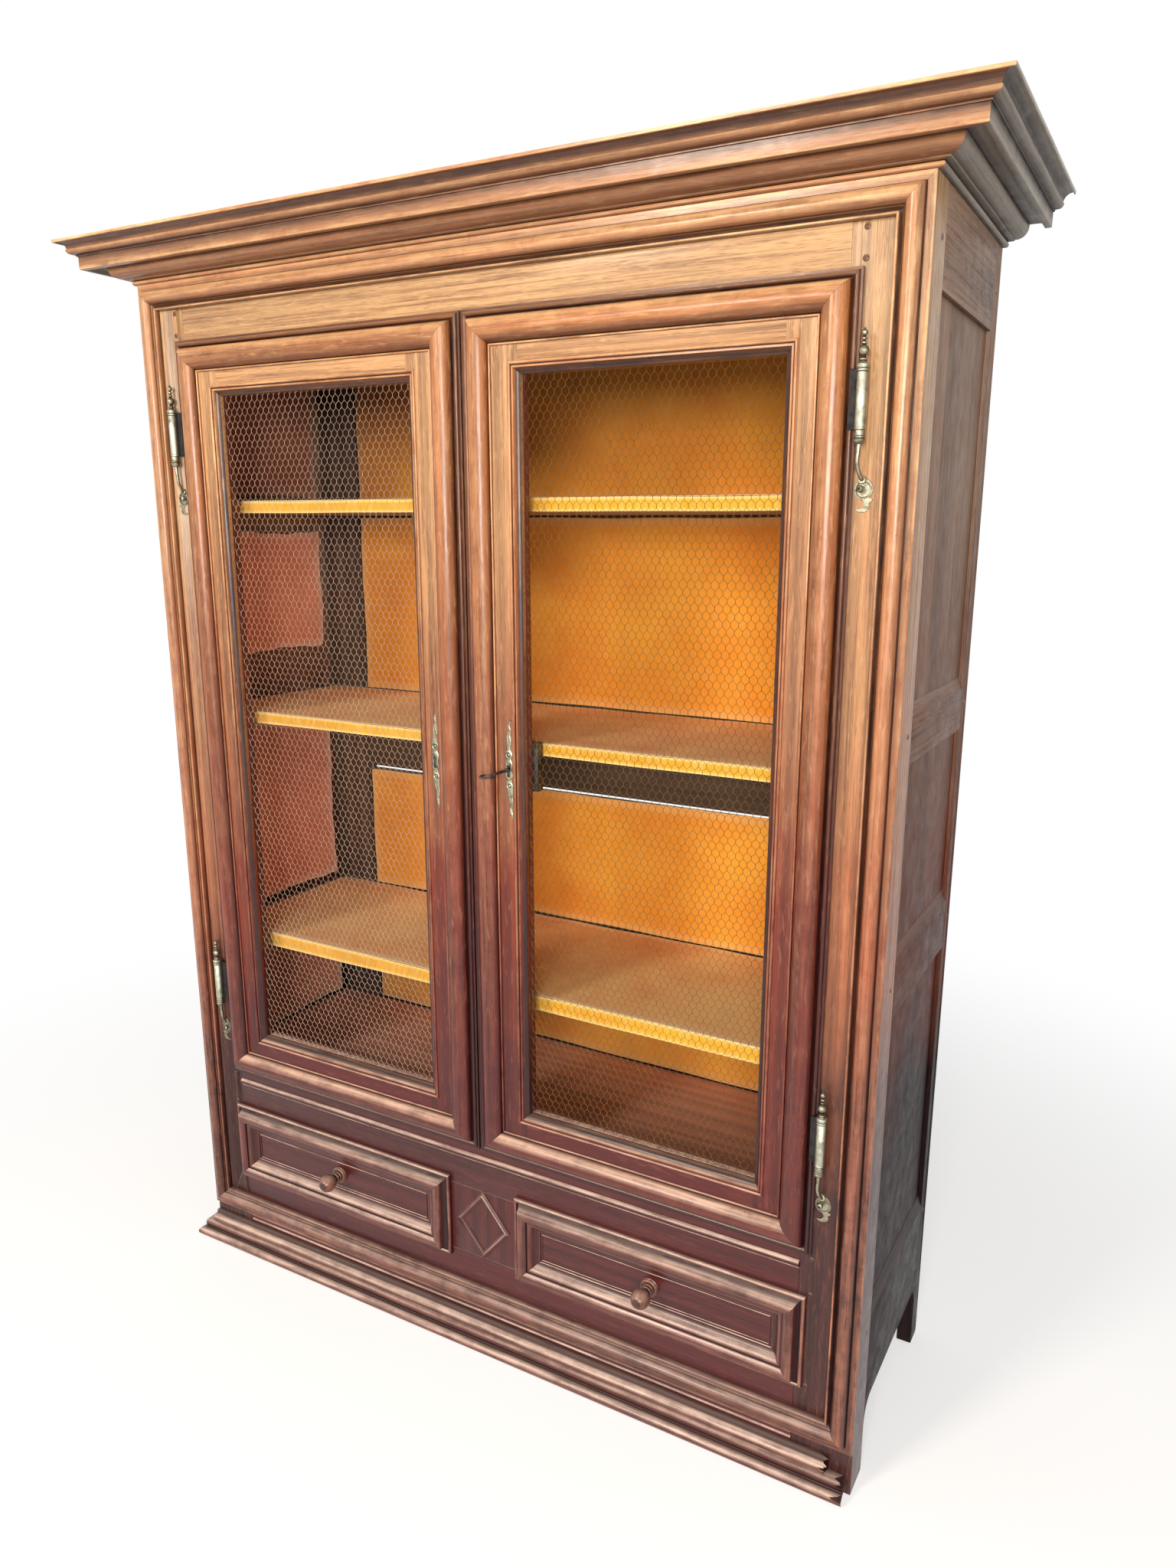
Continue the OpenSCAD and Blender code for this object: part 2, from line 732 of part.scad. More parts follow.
// A sheet of lining with a wavering outline: width, height, wave height and a phase for the edges
function wavy_sheet(w, h, wave, phase) = concat(
    [for (i = [0 : 12]) [w * i / 12, wave * sin(phase + 97 * i)]],
    [for (i = [1 : 11]) [w + wave * 0.6 * sin(phase + 131 * i), h * i / 12]],
    [for (i = [12 : -1 : 0]) [w * i / 12, h + wave * sin(phase + 83 * i)]],
    [for (i = [11 : -1 : 1]) [wave * sin(phase + 113 * i), h * i / 12]]);

lining_edge = 16;
lining_wave = 3;
batten_drop = shelf_t + cleat_h + lining_edge;

// Lower and upper edges of the side linings, then of the back linings, between the shelves
side_lining_spots = [[floor_z + 6, shelf_lower_z - batten_drop],
    [shelf_lower_z + lining_edge, shelf_middle_z - batten_drop],
    [shelf_middle_z + 97, shelf_upper_z - batten_drop],
    [shelf_upper_z + lining_edge, post_top - 60]];
back_lining_spots = [[floor_z + 6, shelf_lower_z - shelf_t - 6],
    [shelf_lower_z + 6, back_mid_z - back_gap - 3],
    [shelf_middle_z + 6, shelf_upper_z - shelf_t - 6],
    [shelf_upper_z + 6, post_top - 50]];

module side_lining(left) {
    x = inner_x - cloth_gap;
    y0 = side_stile_w + 6;
    y1 = back_in_y - lining_edge;
    color(red_cloth) at_front() flip(left) for (i = [0 : 3])
        along_x(x - cloth_t, x) translate([y0, side_lining_spots[i][0]])
            polygon(wavy_sheet(y1 - y0, side_lining_spots[i][1] - side_lining_spots[i][0],
                               lining_wave, 40 * i));
}

module lining_back() {
    x0 = -(inner_x - back_stile_w) + 8;
    x1 = inner_x - lining_edge;
    y = back_in_y - cloth_gap;
    color(orange_cloth) at_front() for (i = [0 : 3])
        along_y(y - cloth_t, y) translate([x0, back_lining_spots[i][0]])
            polygon(wavy_sheet(x1 - x0, back_lining_spots[i][1] - back_lining_spots[i][0],
                               lining_wave, 55 * i));
}

runner_h = 20;
runner_w = 40;
guide_w = 12;

module drawer_runners() {
    top = drawer_open_z + drawer_gap - runner_gap;
    color(deal) at_front() for (side = [0, 1]) mirror([side, 0, 0]) {
        box([open_x - runner_w, front_t, top - runner_h], [inner_x, back_in_y, top]);
        box([open_x + drawer_gap - runner_gap, front_t, top - eps],
            [open_x + guide_w, back_in_y, top + runner_h]);
        box([centre_half - guide_w, front_t, top - runner_h],
            [centre_half + runner_w, back_in_y, top]);
        box([centre_half - guide_w, front_t, top - eps],
            [centre_half - drawer_gap + runner_gap, back_in_y, top + runner_h]);
    }
}

// Doors. Each module draws the right door, and the left door is its mirror image

module door_window(grow, y0, y1) {
    box([mesh_x0 - grow, y0, mesh_z0 - grow], [mesh_x1 + grow, y1, mesh_z1 + grow]);
}

keyhole_slot_w = 5;
keyhole_slot_l = 13;
keyhole_r = 4;

module keyhole(x, y0, y1) {
    translate([x, y1, key_z]) rotate([90, 0, 0]) cylinder(r = keyhole_r, h = y1 - y0);
    box([x - keyhole_slot_w / 2, y0, key_z - keyhole_slot_l], [x + keyhole_slot_w / 2, y1, key_z]);
}

module door_frame(left) {
    color(oak_mid) at_front() flip(left) difference() {
        union() {
            box([door_in_x, -seat_gap, leaf_z], [mesh_x0, front_t, leaf_top]);
            box([door_in_x + lap, leaf_y, leaf_z], [mesh_x0, front_t, leaf_top]);
            box([mesh_x1, leaf_y, leaf_z], [leaf_out_x, front_t, leaf_top]);
            box([mesh_x0, leaf_y, leaf_z], [mesh_x1, front_t, mesh_z0]);
            box([mesh_x0, leaf_y, mesh_z1], [mesh_x1, front_t, leaf_top]);
        }
        door_window(stick_w, leaf_y - 1, leaf_y + leaf_proud);
        door_window(mesh_rebate, mesh_y, front_t + 1);
        if (!left) keyhole(key_x, leaf_y - 1, front_t + 1);
    }
}

// Thinnest part of the large moulding over the flat of the door
mould_skin = 0.6;

function door_outline() =
    concat([[0, 0], [0, 5], [3.5, 5]],
           arc(7.8, 5, 4, 180, 0, 8),
           [[door_torus_d - door_torus_r - 1.5, 4.5]],
           arc(door_torus_d, door_torus_h, door_torus_r, 178,
               asin((leaf_proud + mould_skin - door_torus_h) / door_torus_r), 18),
           [[door_mould_w - 3.6, leaf_proud + mould_skin]],
           arc(door_mould_w - 1.8, leaf_proud + 2, 1.8, 180, 0, 6),
           [[door_mould_w, leaf_proud], [lap, leaf_proud], [lap, 0]]);

function stick_outline() =
    concat([[0, 0], [0, leaf_proud]],
           arc(2.4, leaf_proud + 0.4, 2.4, 180, 0, 8),
           [[4.8, leaf_proud - 1.5], [6.2, leaf_proud - 1.5], [6.2, leaf_proud]],
           arc(stick_w + 1.2, leaf_proud + 3.2, 10.7, 197, 262, 7),
           [[stick_w, 0]]);

module hinge_blade(z) {
    y = -hinge_dy + barrel_r - blade_t;
    box([door_out_x - 35, y, z], [hinge_x, y + blade_t, z + barrel_len]);
}

module door_moulding(left) {
    color(oak_mid) at_front() flip(left) translate([0, -seat_gap, 0]) difference() {
        union() {
            moulding_ring(door_in_x, door_z, door_out_x, door_top, door_mould_w, door_outline());
            moulding_ring(mesh_x0 - stick_w, mesh_z0 - stick_w, mesh_x1 + stick_w, mesh_z1 + stick_w,
                          stick_w, stick_outline());
        }
        translate([0, seat_gap, 0]) for (z = [upper_hinge_z, lower_hinge_z]) hinge_blade(door_z + z);
    }
}

// A flat net of hexagons, cut out of a thin sheet
module door_mesh(left) {
    w = mesh_x1 - mesh_x0 + 2 * (mesh_rebate - 1);
    h = mesh_z1 - mesh_z0 + 2 * (mesh_rebate - 1);
    row_h = hex_pitch * sqrt(3) / 2;
    rows = floor((h - 2 * strand_w) / row_h);
    cols = floor((w - 2 * strand_w) / hex_pitch - 0.5);
    start_x = (w - (cols - 0.5) * hex_pitch) / 2;
    start_z = (h - (rows - 1) * row_h) / 2;
    hex_r = (hex_pitch - strand_w) / sqrt(3);
    color(wire) at_front() flip(left)
        translate([mesh_x0 - mesh_rebate + 1, 0, mesh_z0 - mesh_rebate + 1])
            along_y(mesh_y + cloth_gap, mesh_y + cloth_gap + net_t) difference() {
                square([w, h]);
                for (row = [0 : rows - 1]) for (col = [0 : cols - 1])
                    translate([start_x + (col + 0.5 * (row % 2)) * hex_pitch, start_z + row * row_h])
                        rotate(30) circle(r = hex_r, $fn = 6);
            }
}

module door_fillets(left) {
    g = mesh_rebate - 0.5;
    y0 = mesh_y + 2 * cloth_gap + net_t;
    y1 = y0 + fillet_d;
    color(oak_dark) at_front() flip(left) {
        for (x = [mesh_x0 - g, mesh_x1])
            box([x, y0, mesh_z0 - g], [x + g, y1, mesh_z1 + g]);
        for (z = [mesh_z0 - g, mesh_z1])
            box([mesh_x0, y0, z], [mesh_x1, y1, z + g]);
    }
}

// A rounded swelling of the given height and spread about a place
function swell(u, place, high, spread) = high * exp(-pow((u - place) / spread, 2));

// Half the width of an escutcheon at u, from -1 at its foot to 1 at its tip
function leaf_width(u) = max(0.8, escutcheon_r * (0.2 - 0.12 * abs(u) + swell(u, 0.4, 0.42, 0.09)
    + swell(u, 0.22, 0.3, 0.07) + swell(u, 0.05, 0.78, 0.1) + swell(u, -0.13, 0.62, 0.09)
    + swell(u, -0.34, 0.45, 0.08) + swell(u, -0.62, 0.15, 0.12)));

tip_sway = 7;
foot_sway = 4.5;

// How far the middle line of an escutcheon leans to the right at u
function leaf_sway(u) = tip_sway * pow(max(0, u - 0.2) / 0.8, 1.6)
    + foot_sway * sin(180 * min(1, max(0, -u - 0.3) / 0.7));

leaf_steps = 48;

module escutcheon(left) {
    x = left ? -door_in_x - keyhole_left : door_in_x + keyhole_right;
    places = [for (i = [0 : leaf_steps]) -1 + 2 * i / leaf_steps];
    back_places = [for (i = [leaf_steps : -1 : 0]) -1 + 2 * i / leaf_steps];
    right_edge = [for (u = places) [leaf_sway(u) + leaf_width(u), u * escutcheon_l / 2]];
    left_edge = [for (u = back_places) [leaf_sway(u) - leaf_width(u), u * escutcheon_l / 2]];
    color(old_brass) at_front() difference() {
        translate([x, 0, key_z]) along_y(leaf_y - escutcheon_t, leaf_y)
            polygon(concat(right_edge, left_edge));
        keyhole(x, leaf_y - escutcheon_t - 1, leaf_y + 1);
    }
}

// Hinges: barrels, blades and finials turn with the door
bore_depth = barrel_len * 0.7;
collar_r = barrel_r + 1;

module hinge_barrel(z) {
    top = barrel_len;
    difference() {
        union() {
            translate([hinge_x, -hinge_dy, z]) rotate_extrude() polygon(concat(
                [[0, 0], [barrel_r, 0], [barrel_r, top - 4], [collar_r, top - 3], [collar_r, top],
                 [barrel_r - 2.5, top + 1], [barrel_r - 2.5, top + 3]],
                arc(0, top + finial_len * 0.32, barrel_r, -60, 60, 8),
                [[barrel_r * 0.4, top + finial_len * 0.62], [barrel_r * 0.4, top + finial_len * 0.68]],
                arc(0, top + finial_len * 0.8, barrel_r * 0.62, -50, 50, 6),
                [[1.2, top + finial_len - 3], [1.2, top + finial_len], [0, top + finial_len]]));
            hinge_blade(z);
        }
        translate([hinge_x, -hinge_dy, z - 1])
            cylinder(r = hinge_pin_r + pin_clear, h = bore_depth + 1);
    }
}

module hinge_barrels(left) {
    color(old_brass) at_front() flip(left) for (z = [upper_hinge_z, lower_hinge_z])
        hinge_barrel(door_z + z);
}

pintle_gap = 0.3;
pintle_collar_h = 18;
neck_dx = 2.5;
neck_swell = 0.25;
plate_t = 1.4;
plate_gap = 0.1;
neck_reach = hinge_dy - plate_t - plate_gap;
neck_bend_r = sqrt(neck_dx * neck_dx + neck_reach * neck_reach);

// The pin, its collar and the swan-necked shank that carries it on the case
module hinge_pintle(z) {
    turn = atan2(neck_reach, neck_dx);
    collar_z = -pintle_gap - pintle_collar_h;
    translate([hinge_x, -hinge_dy, z]) intersection() {
        union() {
            translate([0, 0, collar_z + 1]) cylinder(r = hinge_pin_r, h = bore_depth + pintle_collar_h - 3);
            translate([0, 0, collar_z]) cylinder(r = barrel_r, h = pintle_collar_h);
            translate([0, 0, collar_z - shank_len - 1]) cylinder(r = shank_r, h = shank_len + 2);
            translate([0, 0, collar_z - shank_len]) rotate([0, 0, turn]) {
                translate([neck_bend_r, 0, 0]) rotate([90, 0, 0]) rotate(180) rotate_extrude(angle = 90)
                    translate([neck_bend_r, 0]) circle(shank_r + neck_swell);
                translate([neck_bend_r - 1, 0, -neck_bend_r]) rotate([0, 90, 0])
                    cylinder(r = shank_r, h = 8);
            }
        }
        // Flat where the neck stands on its plate
        box([-50, -50, -200], [50, neck_reach, 200]);
    }
}

module hinge_pintles() {
    color(old_brass) at_front() for (left = [true, false]) flip(left)
        for (z = [upper_hinge_z, lower_hinge_z]) hinge_pintle(door_z + z);
}

// The comma-shaped plate under each pintle, and the ball nail that fixes it.
// Places are counted from where the neck lands, across and up
landing_r = 6;
plate_r = 12;
plate_spot = [2.4, -12.7];
tail_r = 10;
tail_spot = [1, -32.5];
tail_cut_r = 8;
tail_cut_spot = [-3, -30.5];
nail_r = 5.5;
nail_spot = [1.5, -11];

module hinge_plate(z) {
    low = z - pintle_gap - pintle_collar_h - shank_len - neck_bend_r;
    translate([hinge_x + neck_dx, 0, low]) {
        along_y(-plate_t, 0) {
            circle(landing_r);
            translate(plate_spot) circle(plate_r);
            difference() {
                translate(tail_spot) circle(tail_r);
                translate(tail_cut_spot) circle(tail_cut_r);
            }
        }
        translate([nail_spot[0], -plate_t - nail_r * 0.8, nail_spot[1]]) sphere(nail_r);
    }
}

module hinge_plates() {
    color(old_brass) at_front() for (left = [true, false]) flip(left)
        for (z = [upper_hinge_z, lower_hinge_z]) hinge_plate(door_z + z);
}

// Lock on the back of the right door
bolt_y = front_t + (lock_d - bolt_d) / 2;
bolt_z = key_z + 14;
bolt_tip_x = door_in_x + 2.5;
bolt_len = lock_x0 + 45 - bolt_tip_x;

module bolt_box(grow) {
    box([bolt_tip_x, bolt_y - grow, bolt_z - grow],
        [bolt_tip_x + bolt_len, bolt_y + bolt_d + grow, bolt_z + bolt_h + grow]);
}

module lock_case() {
    w = lock_wall;
    z0 = key_z - lock_h / 2;
    color(steel) at_front() difference() {
        box([lock_x0, front_t, z0], [lock_x0 + lock_w, front_t + lock_d, z0 + lock_h]);
        box([lock_x0 + w, front_t + w, z0 + w], [lock_x0 + lock_w - w, front_t + lock_d - w, z0 + lock_h - w]);
        bolt_box(slide_clear);
        keyhole(key_x, front_t - 1, front_t + w + 1);
        translate([key_x, front_t + lock_d + 1, key_z]) rotate([90, 0, 0])
            cylinder(r = key_r + pin_clear, h = 3);
    }
}

module lock_bolt() {
    color(steel) at_front() bolt_box(0);
}

key_bit_l = 11;
key_bit_t = 2.5;

// The key lies across, as it was left, with its bow seen nearly edge-on
module key() {
    bow_y = leaf_y - key_out + key_bow_r;
    color(steel) at_front() translate([key_x, 0, key_z]) {
        translate([0, front_t + lock_d, 0]) rotate([90, 0, 0])
            cylinder(r = key_r, h = front_t + lock_d - bow_y - key_bow_r + 3);
        translate([0, leaf_y - 8, 0]) rotate([90, 0, 0]) cylinder(r = key_r + 1.4, h = 3);
        translate([0, bow_y + key_bow_r + 4, 0]) rotate([90, 0, 0]) cylinder(r = key_r + 1.6, h = 4);
        translate([0, bow_y, 0]) difference() {
            translate([0, 0, -2]) cylinder(r = key_bow_r, h = 4);
            translate([0, 0, -3]) cylinder(r = key_bow_r - 4, h = 6);
        }
        box([0, front_t + lock_wall + 2, -key_bit_t / 2],
            [key_bit_l, front_t + lock_d - lock_wall - 2, key_bit_t / 2]);
    }
}

// Bolts on the back of the left door, drawn back here. Shot, they stand behind the top and middle rails
slide_y = front_t + 0.6;
staple_t = 2;
bolt_knob_r = 4;

module slide_bolt(z0, z1, knob_z) {
    x = -bolt_slot_x;
    box([x - slide_w / 2, slide_y, z0], [x + slide_w / 2, slide_y + slide_t, z1]);
    translate([x, slide_y + slide_t - 0.5, knob_z]) rotate([-90, 0, 0]) cylinder(r = 2.5, h = 5);
    translate([x, slide_y + slide_t + 6, knob_z]) sphere(bolt_knob_r);
}

upper_slide_top = leaf_top - 2;
lower_slide_low = leaf_z + 1;

module upper_bolt() {
    color(steel) at_front() flip(true)
        slide_bolt(upper_slide_top - slide_len, upper_slide_top, upper_slide_top - slide_len + 12);
}

module lower_bolt() {
    color(steel) at_front() flip(true)
        slide_bolt(lower_slide_low, lower_slide_low + slide_len, lower_slide_low + slide_len - 12);
}

// A strap that holds a bolt against the wood behind it
module staple(x, z, h) {
    g = slide_w / 2 + slide_clear;
    y1 = slide_y + slide_t + slide_clear;
    for (s = [x - g - staple_t - 6, x + g])
        box([s, front_t, z], [s + staple_t + 6, front_t + staple_t, z + h]);
    for (s = [x - g - staple_t, x + g])
        box([s, front_t, z], [s + staple_t, y1 + staple_t, z + h]);
    box([x - g - staple_t, y1, z], [x + g + staple_t, y1 + staple_t, z + h]);
}

// Height of a staple, and how far one stands from either end of its bolt
staple_h = 12;
staple_end = 28;
staple_knob_end = 26;

module left_door_staples() {
    x = -bolt_slot_x;
    knob_end = slide_len - staple_knob_end - slide_throw;
    color(steel) at_front() flip(true) {
        for (z = [upper_slide_top - staple_end - staple_h, upper_slide_top - knob_end])
            staple(x, z, staple_h);
        for (z = [lower_slide_low + staple_end, lower_slide_low + knob_end - staple_h])
            staple(x, z, staple_h);
        lock_keeper();
    }
}

// The box on the left door that takes the lock bolt
module lock_keeper() {
    w = 2;
    x0 = door_in_x + 2;
    x1 = x0 + bolt_throw + 8;
    g = slide_clear + 0.4;
    difference() {
        box([x0, front_t, bolt_z - g - w], [x1, bolt_y + bolt_d + g + w, bolt_z + bolt_h + g + w]);
        box([x0 - 1, front_t + 1, bolt_z - g], [x1 - w, bolt_y + bolt_d + g, bolt_z + bolt_h + g]);
    }
}

// Drawers. Each module draws the right drawer, and the left drawer is its mirror image
drawer_box_x0 = centre_half + drawer_gap;
drawer_box_x1 = open_x - drawer_gap;
drawer_box_z = drawer_open_z + drawer_gap;
front_face_h = 2;
knob_x = drawer_in_x + drawer_w / 2;
knob_z = drawer_z + drawer_h / 2;

// The drawer's moulding from its outer edge inwards: a bead, a steep hollow side, a broad round,
// a fine groove, and an ogee that falls to the panel. Its rounds are drawn for a width of 56 and
// a height of 23, and follow the two values
drawer_bead_r = 3.5;
drawer_edge_h = 5;
drawer_side_r = 20;
drawer_round_r = 14;
drawer_ogee_r = 8;
drawer_cove_r = 11;

function drawer_outline() =
    let (kw = drawer_mould_w / 56, kh = drawer_mould_h / 23)
    concat([[0, 0], [0, drawer_edge_h]],
           arc(drawer_bead_r, drawer_edge_h, drawer_bead_r, 180, 0, 8),
           [for (p = concat(arc(-5, 20.2, drawer_side_r, -49, -3, 6),
                            arc(23, 9, drawer_round_r, 123, 44, 10),
                            [[33.2, 16.6], [34.2, 16.6]],
                            arc(36, 9, drawer_ogee_r, 98, 20, 6),
                            arc(53.9, 15.5, drawer_cove_r, 198, 268, 8))) [p[0] * kw, p[1] * kh]],
           [[drawer_mould_w - 1, 4.5 * kh], [drawer_mould_w, 3.5 * kh], [drawer_mould_w, front_face_h],
            [drawer_lip + drawer_gap, front_face_h], [drawer_lip + drawer_gap, 0]]);

line_inset = 2.5;
line_w = 2.2;
line_h = 1.2;

module drawer_front(left) {
    inset = drawer_mould_w + line_inset;
    lift = front_face_h + seat_gap;
    color(oak_dark) at_front() flip(left) {
        difference() {
            box([drawer_box_x0, -lift, drawer_box_z],
                [drawer_box_x1, drawer_front_t, drawer_open_top - drawer_gap]);
            translate([knob_x, drawer_front_t + 1, knob_z]) rotate([90, 0, 0])
                cylinder(r = spindle_r, h = drawer_front_t + lift + 2);
        }
        difference() {
            translate([0, -seat_gap, 0]) moulding_ring(drawer_in_x, drawer_z, drawer_out_x, drawer_top,
                drawer_mould_w, drawer_outline());
            box([drawer_box_x0 - eps, -lift, drawer_box_z - eps],
                [drawer_box_x1 + eps, 1, drawer_open_top - drawer_gap + eps]);
        }
        translate([0, -lift, 0])
            moulding_ring(drawer_in_x + inset, drawer_z + inset, drawer_out_x - inset, drawer_top - inset,
                line_w, [[0, 0], [0, line_h], [line_w, line_h], [line_w, 0]]);
    }
}

module drawer_box(left) {
    t = drawer_side_t;
    y1 = drawer_front_t + drawer_len;
    z = drawer_box_z;
    color(deal) at_front() flip(left) {
        box([drawer_box_x0, drawer_front_t, z], [drawer_box_x0 + t, y1, z + drawer_side_h]);
        box([drawer_box_x1 - t, drawer_front_t, z], [drawer_box_x1, y1, z + drawer_side_h]);
        box([drawer_box_x0 + t, y1 - t, z], [drawer_box_x1 - t, y1, z + drawer_side_h]);
        box([drawer_box_x0 + t, drawer_front_t, z], [drawer_box_x1 - t, y1 - t, z + drawer_bottom_t]);
    }
}

module drawer_knob(left) {
    base = front_face_h + seat_gap;
    color(oak_mid) at_front() flip(left) translate([knob_x, -base, knob_z]) rotate([90, 0, 0]) {
        translate([0, 0, -drawer_front_t]) cylinder(r = spindle_r, h = drawer_front_t + 1);
        rotate_extrude() polygon(concat([[0, 0], [knob_r * 0.95, 0], [knob_r, 2.5]],
            arc(knob_r * 0.7, 6, knob_r * 0.26, -60, 60, 6),
            [[knob_r * 0.44, 12], [knob_r * 0.42, 14], [knob_r * 0.64, 15.5], [knob_r * 0.64, 18],
             [knob_r * 0.5, 19.5]],
            arc(0, knob_reach, knob_r, -58, 90, 14)));
    }
}

front_post(true);  // front_post_left
front_post(false);  // front_post_right
rear_post(true);  // rear_post_left
rear_post(false);  // rear_post_right
top_rail();
mid_rail();
bottom_rail();
centre_board();
diamond_moulding();
frame_moulding();
side_rails(true);  // side_rails_left
side_rails(false);  // side_rails_right
side_panels(true);  // side_panels_left
side_panels(false);  // side_panels_right
back_frame();
back_panels();
roof_board();
floor_board();
shelf(shelf_upper_z);  // shelf_upper
shelf(shelf_middle_z);  // shelf_middle
shelf(shelf_lower_z);  // shelf_lower
shelf_battens();
cornice_front();
cornice_side(true);  // cornice_left
cornice_side(false);  // cornice_right
plinth_upper();
plinth_lower();
drawer_runners();
lining_back();
side_lining(true);  // lining_left
side_lining(false);  // lining_right
shelf_cloths();
frame_pegs();
hinge_pintles();
hinge_plates();
door_frame(true);  // left_door_frame
door_moulding(true);  // left_door_moulding
door_mesh(true);  // left_door_mesh
door_fillets(true);  // left_door_fillets
escutcheon(true);  // left_escutcheon
hinge_barrels(true);  // left_hinge_barrels
left_door_staples();
upper_bolt();
lower_bolt();
door_frame(false);  // right_door_frame
door_moulding(false);  // right_door_moulding
door_mesh(false);  // right_door_mesh
door_fillets(false);  // right_door_fillets
escutcheon(false);  // right_escutcheon
hinge_barrels(false);  // right_hinge_barrels
lock_case();
lock_bolt();
key();
drawer_front(true);  // left_drawer_front
drawer_box(true);  // left_drawer_box
drawer_knob(true);  // left_drawer_knob
drawer_front(false);  // right_drawer_front
drawer_box(false);  // right_drawer_box
drawer_knob(false);  // right_drawer_knob
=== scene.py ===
# %% [markdown]
# # An old oak bookcase with two wire-mesh doors
#
# The piece is a country wardrobe that was made into a bookcase: a panelled case on four posts,
# a deep cornice, a heavy moulding round the front, two doors with wire net in place of their
# panels, and two drawers below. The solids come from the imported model, which stays as it is.
# This script dresses it: softened boards, mouldings with fine profiles, a real net, cloth
# linings, worn brass and waxed oak. Everything is in metres, in the model's own frame, with
# +X to the right seen from the front, the front facing -Y, and the floor at Z = 0.

import json
import math
import random

import bmesh
import bpy
import numpy as np
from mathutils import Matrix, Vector

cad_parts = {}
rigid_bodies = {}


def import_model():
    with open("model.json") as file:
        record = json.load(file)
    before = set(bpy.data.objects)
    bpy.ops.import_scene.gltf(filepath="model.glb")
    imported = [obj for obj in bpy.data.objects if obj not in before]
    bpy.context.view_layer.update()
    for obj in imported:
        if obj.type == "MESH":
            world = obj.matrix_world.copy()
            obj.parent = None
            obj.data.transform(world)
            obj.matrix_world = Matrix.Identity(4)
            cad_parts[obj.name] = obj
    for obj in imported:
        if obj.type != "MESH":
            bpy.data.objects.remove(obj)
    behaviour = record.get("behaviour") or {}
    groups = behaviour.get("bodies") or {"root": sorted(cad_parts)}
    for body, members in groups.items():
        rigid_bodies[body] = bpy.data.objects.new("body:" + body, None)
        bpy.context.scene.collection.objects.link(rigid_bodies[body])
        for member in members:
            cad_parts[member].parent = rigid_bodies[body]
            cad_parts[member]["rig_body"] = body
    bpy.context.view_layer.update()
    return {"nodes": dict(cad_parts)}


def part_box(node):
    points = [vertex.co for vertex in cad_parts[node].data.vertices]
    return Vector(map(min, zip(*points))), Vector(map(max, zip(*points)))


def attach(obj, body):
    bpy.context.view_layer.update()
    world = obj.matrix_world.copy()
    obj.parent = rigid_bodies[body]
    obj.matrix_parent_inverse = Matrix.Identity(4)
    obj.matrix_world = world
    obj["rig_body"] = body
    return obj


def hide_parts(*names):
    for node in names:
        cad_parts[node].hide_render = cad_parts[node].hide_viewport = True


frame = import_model()

# %% [markdown]
# ## Camera
#
# The photograph was taken from the right, close to the piece, with a moderately wide lens.
# The camera's place, turn and focal length were worked out from the corners of the case, so the
# render can be laid over the photograph. The lens is given for a 36 mm high frame. The picture
# was cropped a little off centre, which the small shift repeats.

# %% Camera
def in_scene(name, data):
    """A new object that shows this data, linked to the scene."""
    made = bpy.data.objects.new(name, data)
    bpy.context.scene.collection.objects.link(made)
    return made


camera_data = bpy.data.cameras.new("camera")
camera_data.sensor_fit = "VERTICAL"
camera_data.sensor_height = 36.0
camera_data.lens = 25.34
camera_data.shift_x = -0.01217
camera_data.shift_y = 0.00657
camera_data.clip_end = 60.0
camera = in_scene("camera", camera_data)
camera.location = (1.10607, -1.70237, 1.56433)
camera.rotation_euler = (1.33608, -0.00438, 0.50302)
bpy.context.scene.camera = camera
print("camera at", [round(v, 3) for v in camera.location])

# %% [markdown]
# ## Three small helpers for materials
#
# Colours are written as sRGB hex values, as a colour picker shows them, and one function turns
# them into the linear values that the renderer needs. A second function adds one node to a tree,
# sets its options and plugs its inputs, so that each material below reads as a list. A third one
# starts an empty material. A node that is plugged into another gives its first output in use.

# %% Colour and node helpers
def linear(hex_colour):
    """An sRGB hex colour as linear RGBA."""
    out = []
    for i in (1, 3, 5):
        c = int(hex_colour[i:i + 2], 16) / 255
        out.append(c / 12.92 if c <= 0.04045 else ((c + 0.055) / 1.055) ** 2.4)
    return (*out, 1.0)


def add(tree, kind, *values, **named):
    """Adds a node. Values, sockets or nodes fill its inputs in order. A named one is a setting of
    the node if its name is in small letters, and an input if it has a capital."""
    made = tree.nodes.new(kind)
    for setting in [name for name in named if name.islower()]:
        setattr(made, setting, named.pop(setting))
    pairs = list(zip([socket for socket in made.inputs if socket.enabled], values))
    pairs += [(made.inputs[name.replace("_", " ")], value) for name, value in named.items()]
    for socket, value in pairs:
        if isinstance(value, bpy.types.Node):
            value = next(output for output in value.outputs if output.enabled)
        if isinstance(value, bpy.types.NodeSocket):
            tree.links.new(value, socket)
        else:
            socket.default_value = value
    return made


def new_material(name):
    """An empty node material and its tree."""
    material = bpy.data.materials.new(name)
    material.use_nodes = True
    material.node_tree.nodes.clear()
    return material, material.node_tree


print("white as linear:", linear("#FFFFFF")[:3])

# %% [markdown]
# ## Floor, background and light
#
# The piece stands on a pale floor against white. A soft lamp high on the left brings out the
# rounds of the mouldings, and a lower one near the camera reaches between the shelves. The right
# side of the case turns away from both and lies in shade, and the pale world fills it. World
# and floor show themselves white to the camera and to reflections only, and the floor keeps the
# shadow of the piece, so no light is added to the object for the sake of the background.

# %% World and lamps
WHITE = (1, 1, 1, 1)


